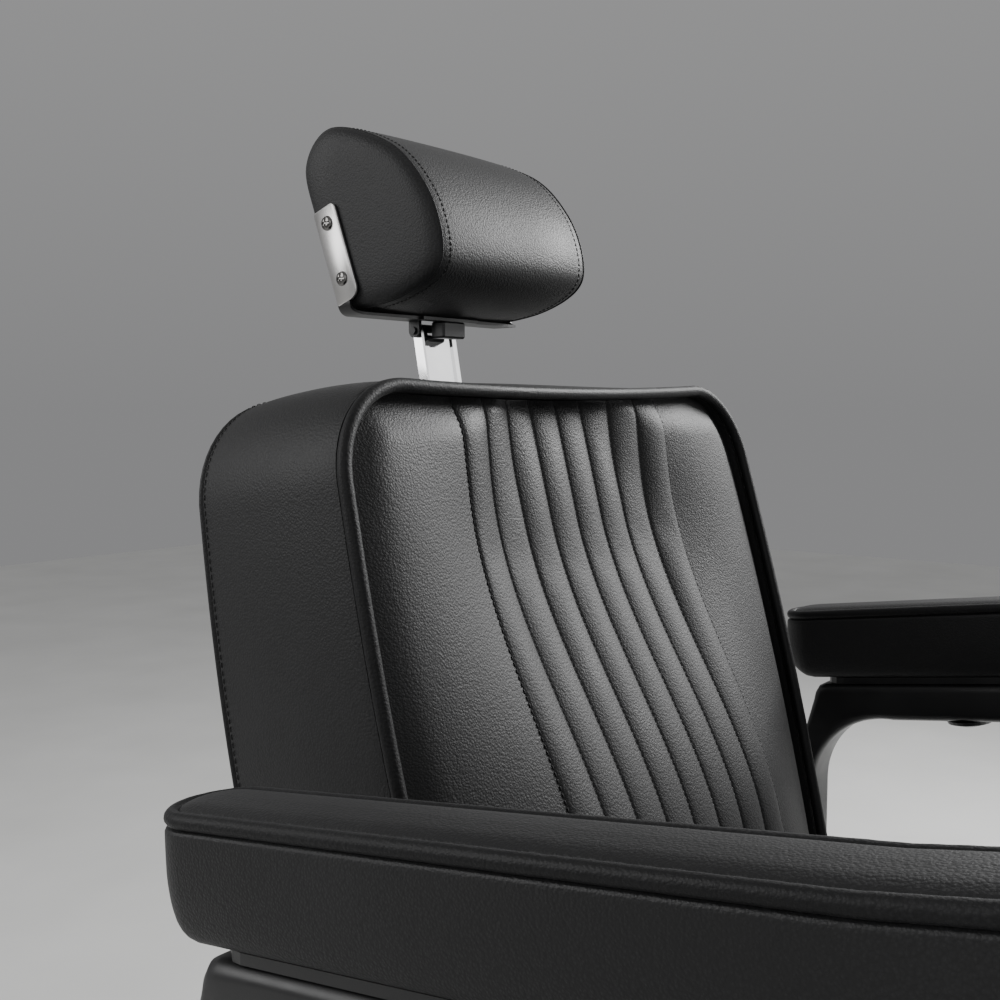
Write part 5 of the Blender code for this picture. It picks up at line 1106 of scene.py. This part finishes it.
def dress_footrest():
    """Bent chrome tube of the footrest, rounder than its solid."""
    knee, ankle = Vector((FOOT_X, *FOOT_KNEE)), Vector((FOOT_X, *FOOT_AXIS))
    forward, run, across = Vector((0, -1, 0)), (ankle - knee).normalized(), Vector((-1, 0, 0))
    half = [Vector((FOOT_X, FOOT_START, knee.z))]
    for corner, into, out, reach in ((knee, forward, run, FOOT_BEND),
                                     (ankle, run, across, FOOT_BEND * 0.6)):
        half += bend(corner - into * reach, corner, corner + out * reach)
    route = half + [Vector((-p.x, p.y, p.z)) for p in half[::-1]]
    tube = cord("footrest_bar", route, FOOT_TUBE, CHROME, Vector((1, 2, -1)), closed=False,
                sides=40, step=0.005, uneven=0.0)
    wear(tube, "seat", "chrome", "footrest_tube")


def finish_nodes():
    """Give every carried-over solid its finish, or black paint as painted shade for a few, and some
    of them softer edges.
    """
    for part in frame["record"]["subparts"]:
        node = part["node"]
        mesh = NODES[node].data
        mesh.materials.clear()
        # A few solids get black paint in place of their own finish, as painted shade
        mesh.materials.append(PAINT if node in SHADE_PAINTED else FINISH[part["material_slot"]])
        mesh.shade_smooth()
        mesh.set_sharp_from_angle(angle=radians(NODE_SHARP))
    for width, nodes in SOFT_EDGES.items():
        for node in nodes:
            bevel = NODES[node].modifiers.new("edges", "BEVEL")
            bevel.width = width
            bevel.segments = EDGE_SEGMENTS
            bevel.limit_method = "ANGLE"
            bevel.angle_limit = radians(EDGE_ANGLE)


# Floor, light and camera

def pale_floor():
    """Plain pale floor."""
    made, tree, shader = new_material("pale_floor", (0.62, 0.62, 0.61), 0.62)
    cloud = noise(tree, coordinates(tree), 3.0, 4.0)
    feed(tree, ramp(tree, cloud, (0.60, 0.60, 0.59), (0.66, 0.66, 0.65)), shader, "Base Color")
    r = FLOOR_REACH
    bm = bmesh.new()
    bm.faces.new([bm.verts.new(p) for p in ((-r, -r, 0), (r, -r, 0), (r, r, 0), (-r, r, 0))])
    floor = mesh_object("floor", bm, made)


def soft_light():
    """Pale surroundings and four round lamps: the key at the upper right, a rim light behind."""
    world = bpy.context.scene.world or bpy.data.worlds.new("studio")
    bpy.context.scene.world = world
    world.use_nodes = True
    tree = world.node_tree
    background = tree.nodes["Background"]
    background.inputs["Strength"].default_value = WORLD_STRENGTH
    way = new_node(tree, "ShaderNodeTexCoord")
    parts = new_node(tree, "ShaderNodeSeparateXYZ")
    feed(tree, way.outputs["Generated"], parts, "Vector")
    sky = ramp(tree, parts.outputs["Z"], (0.58, 0.58, 0.59), (1.0, 1.0, 1.0), 0.0, 0.9)
    feed(tree, sky, background, "Color")
    for name, spot, aim, size, power in LAMPS:
        lamp = bpy.data.lights.new(name, "AREA")
        lamp.shape = "DISK"
        lamp.size = size
        lamp.energy = power
        holder = link(bpy.data.objects.new(name, lamp))
        holder.location = spot
        towards = Vector(aim) - Vector(spot)
        holder.rotation_euler = towards.to_track_quat("-Z", "Y").to_euler()


def photo_camera():
    """Camera at the photo's place and angle."""
    eye = bpy.data.cameras.new("photo")
    eye.lens = LENS_MM
    eye.sensor_width = SENSOR_MM
    camera = link(bpy.data.objects.new("photo", eye))
    sin_yaw, cos_yaw = sin(CAMERA_YAW), cos(CAMERA_YAW)
    sin_pitch, cos_pitch = sin(CAMERA_PITCH), cos(CAMERA_PITCH)
    sin_roll, cos_roll = sin(CAMERA_ROLL), cos(CAMERA_ROLL)
    ahead = Vector((sin_yaw * cos_pitch, cos_yaw * cos_pitch, sin_pitch))
    right = Vector((cos_yaw, -sin_yaw, 0.0))
    up = right.cross(ahead)
    right, up = right * cos_roll + up * sin_roll, up * cos_roll - right * sin_roll
    camera.matrix_world = Matrix((right, up, -ahead)).transposed().to_4x4()
    camera.location = CAMERA_AT
    bpy.context.scene.camera = camera


finish_nodes()
dress_base()
dress_footrest()
dress_back()
dress_seat()
for side_name, side_sign in SIDES:
    dress_arm(side_name, side_sign)
dress_headrest()
pale_floor()
soft_light()
photo_camera()
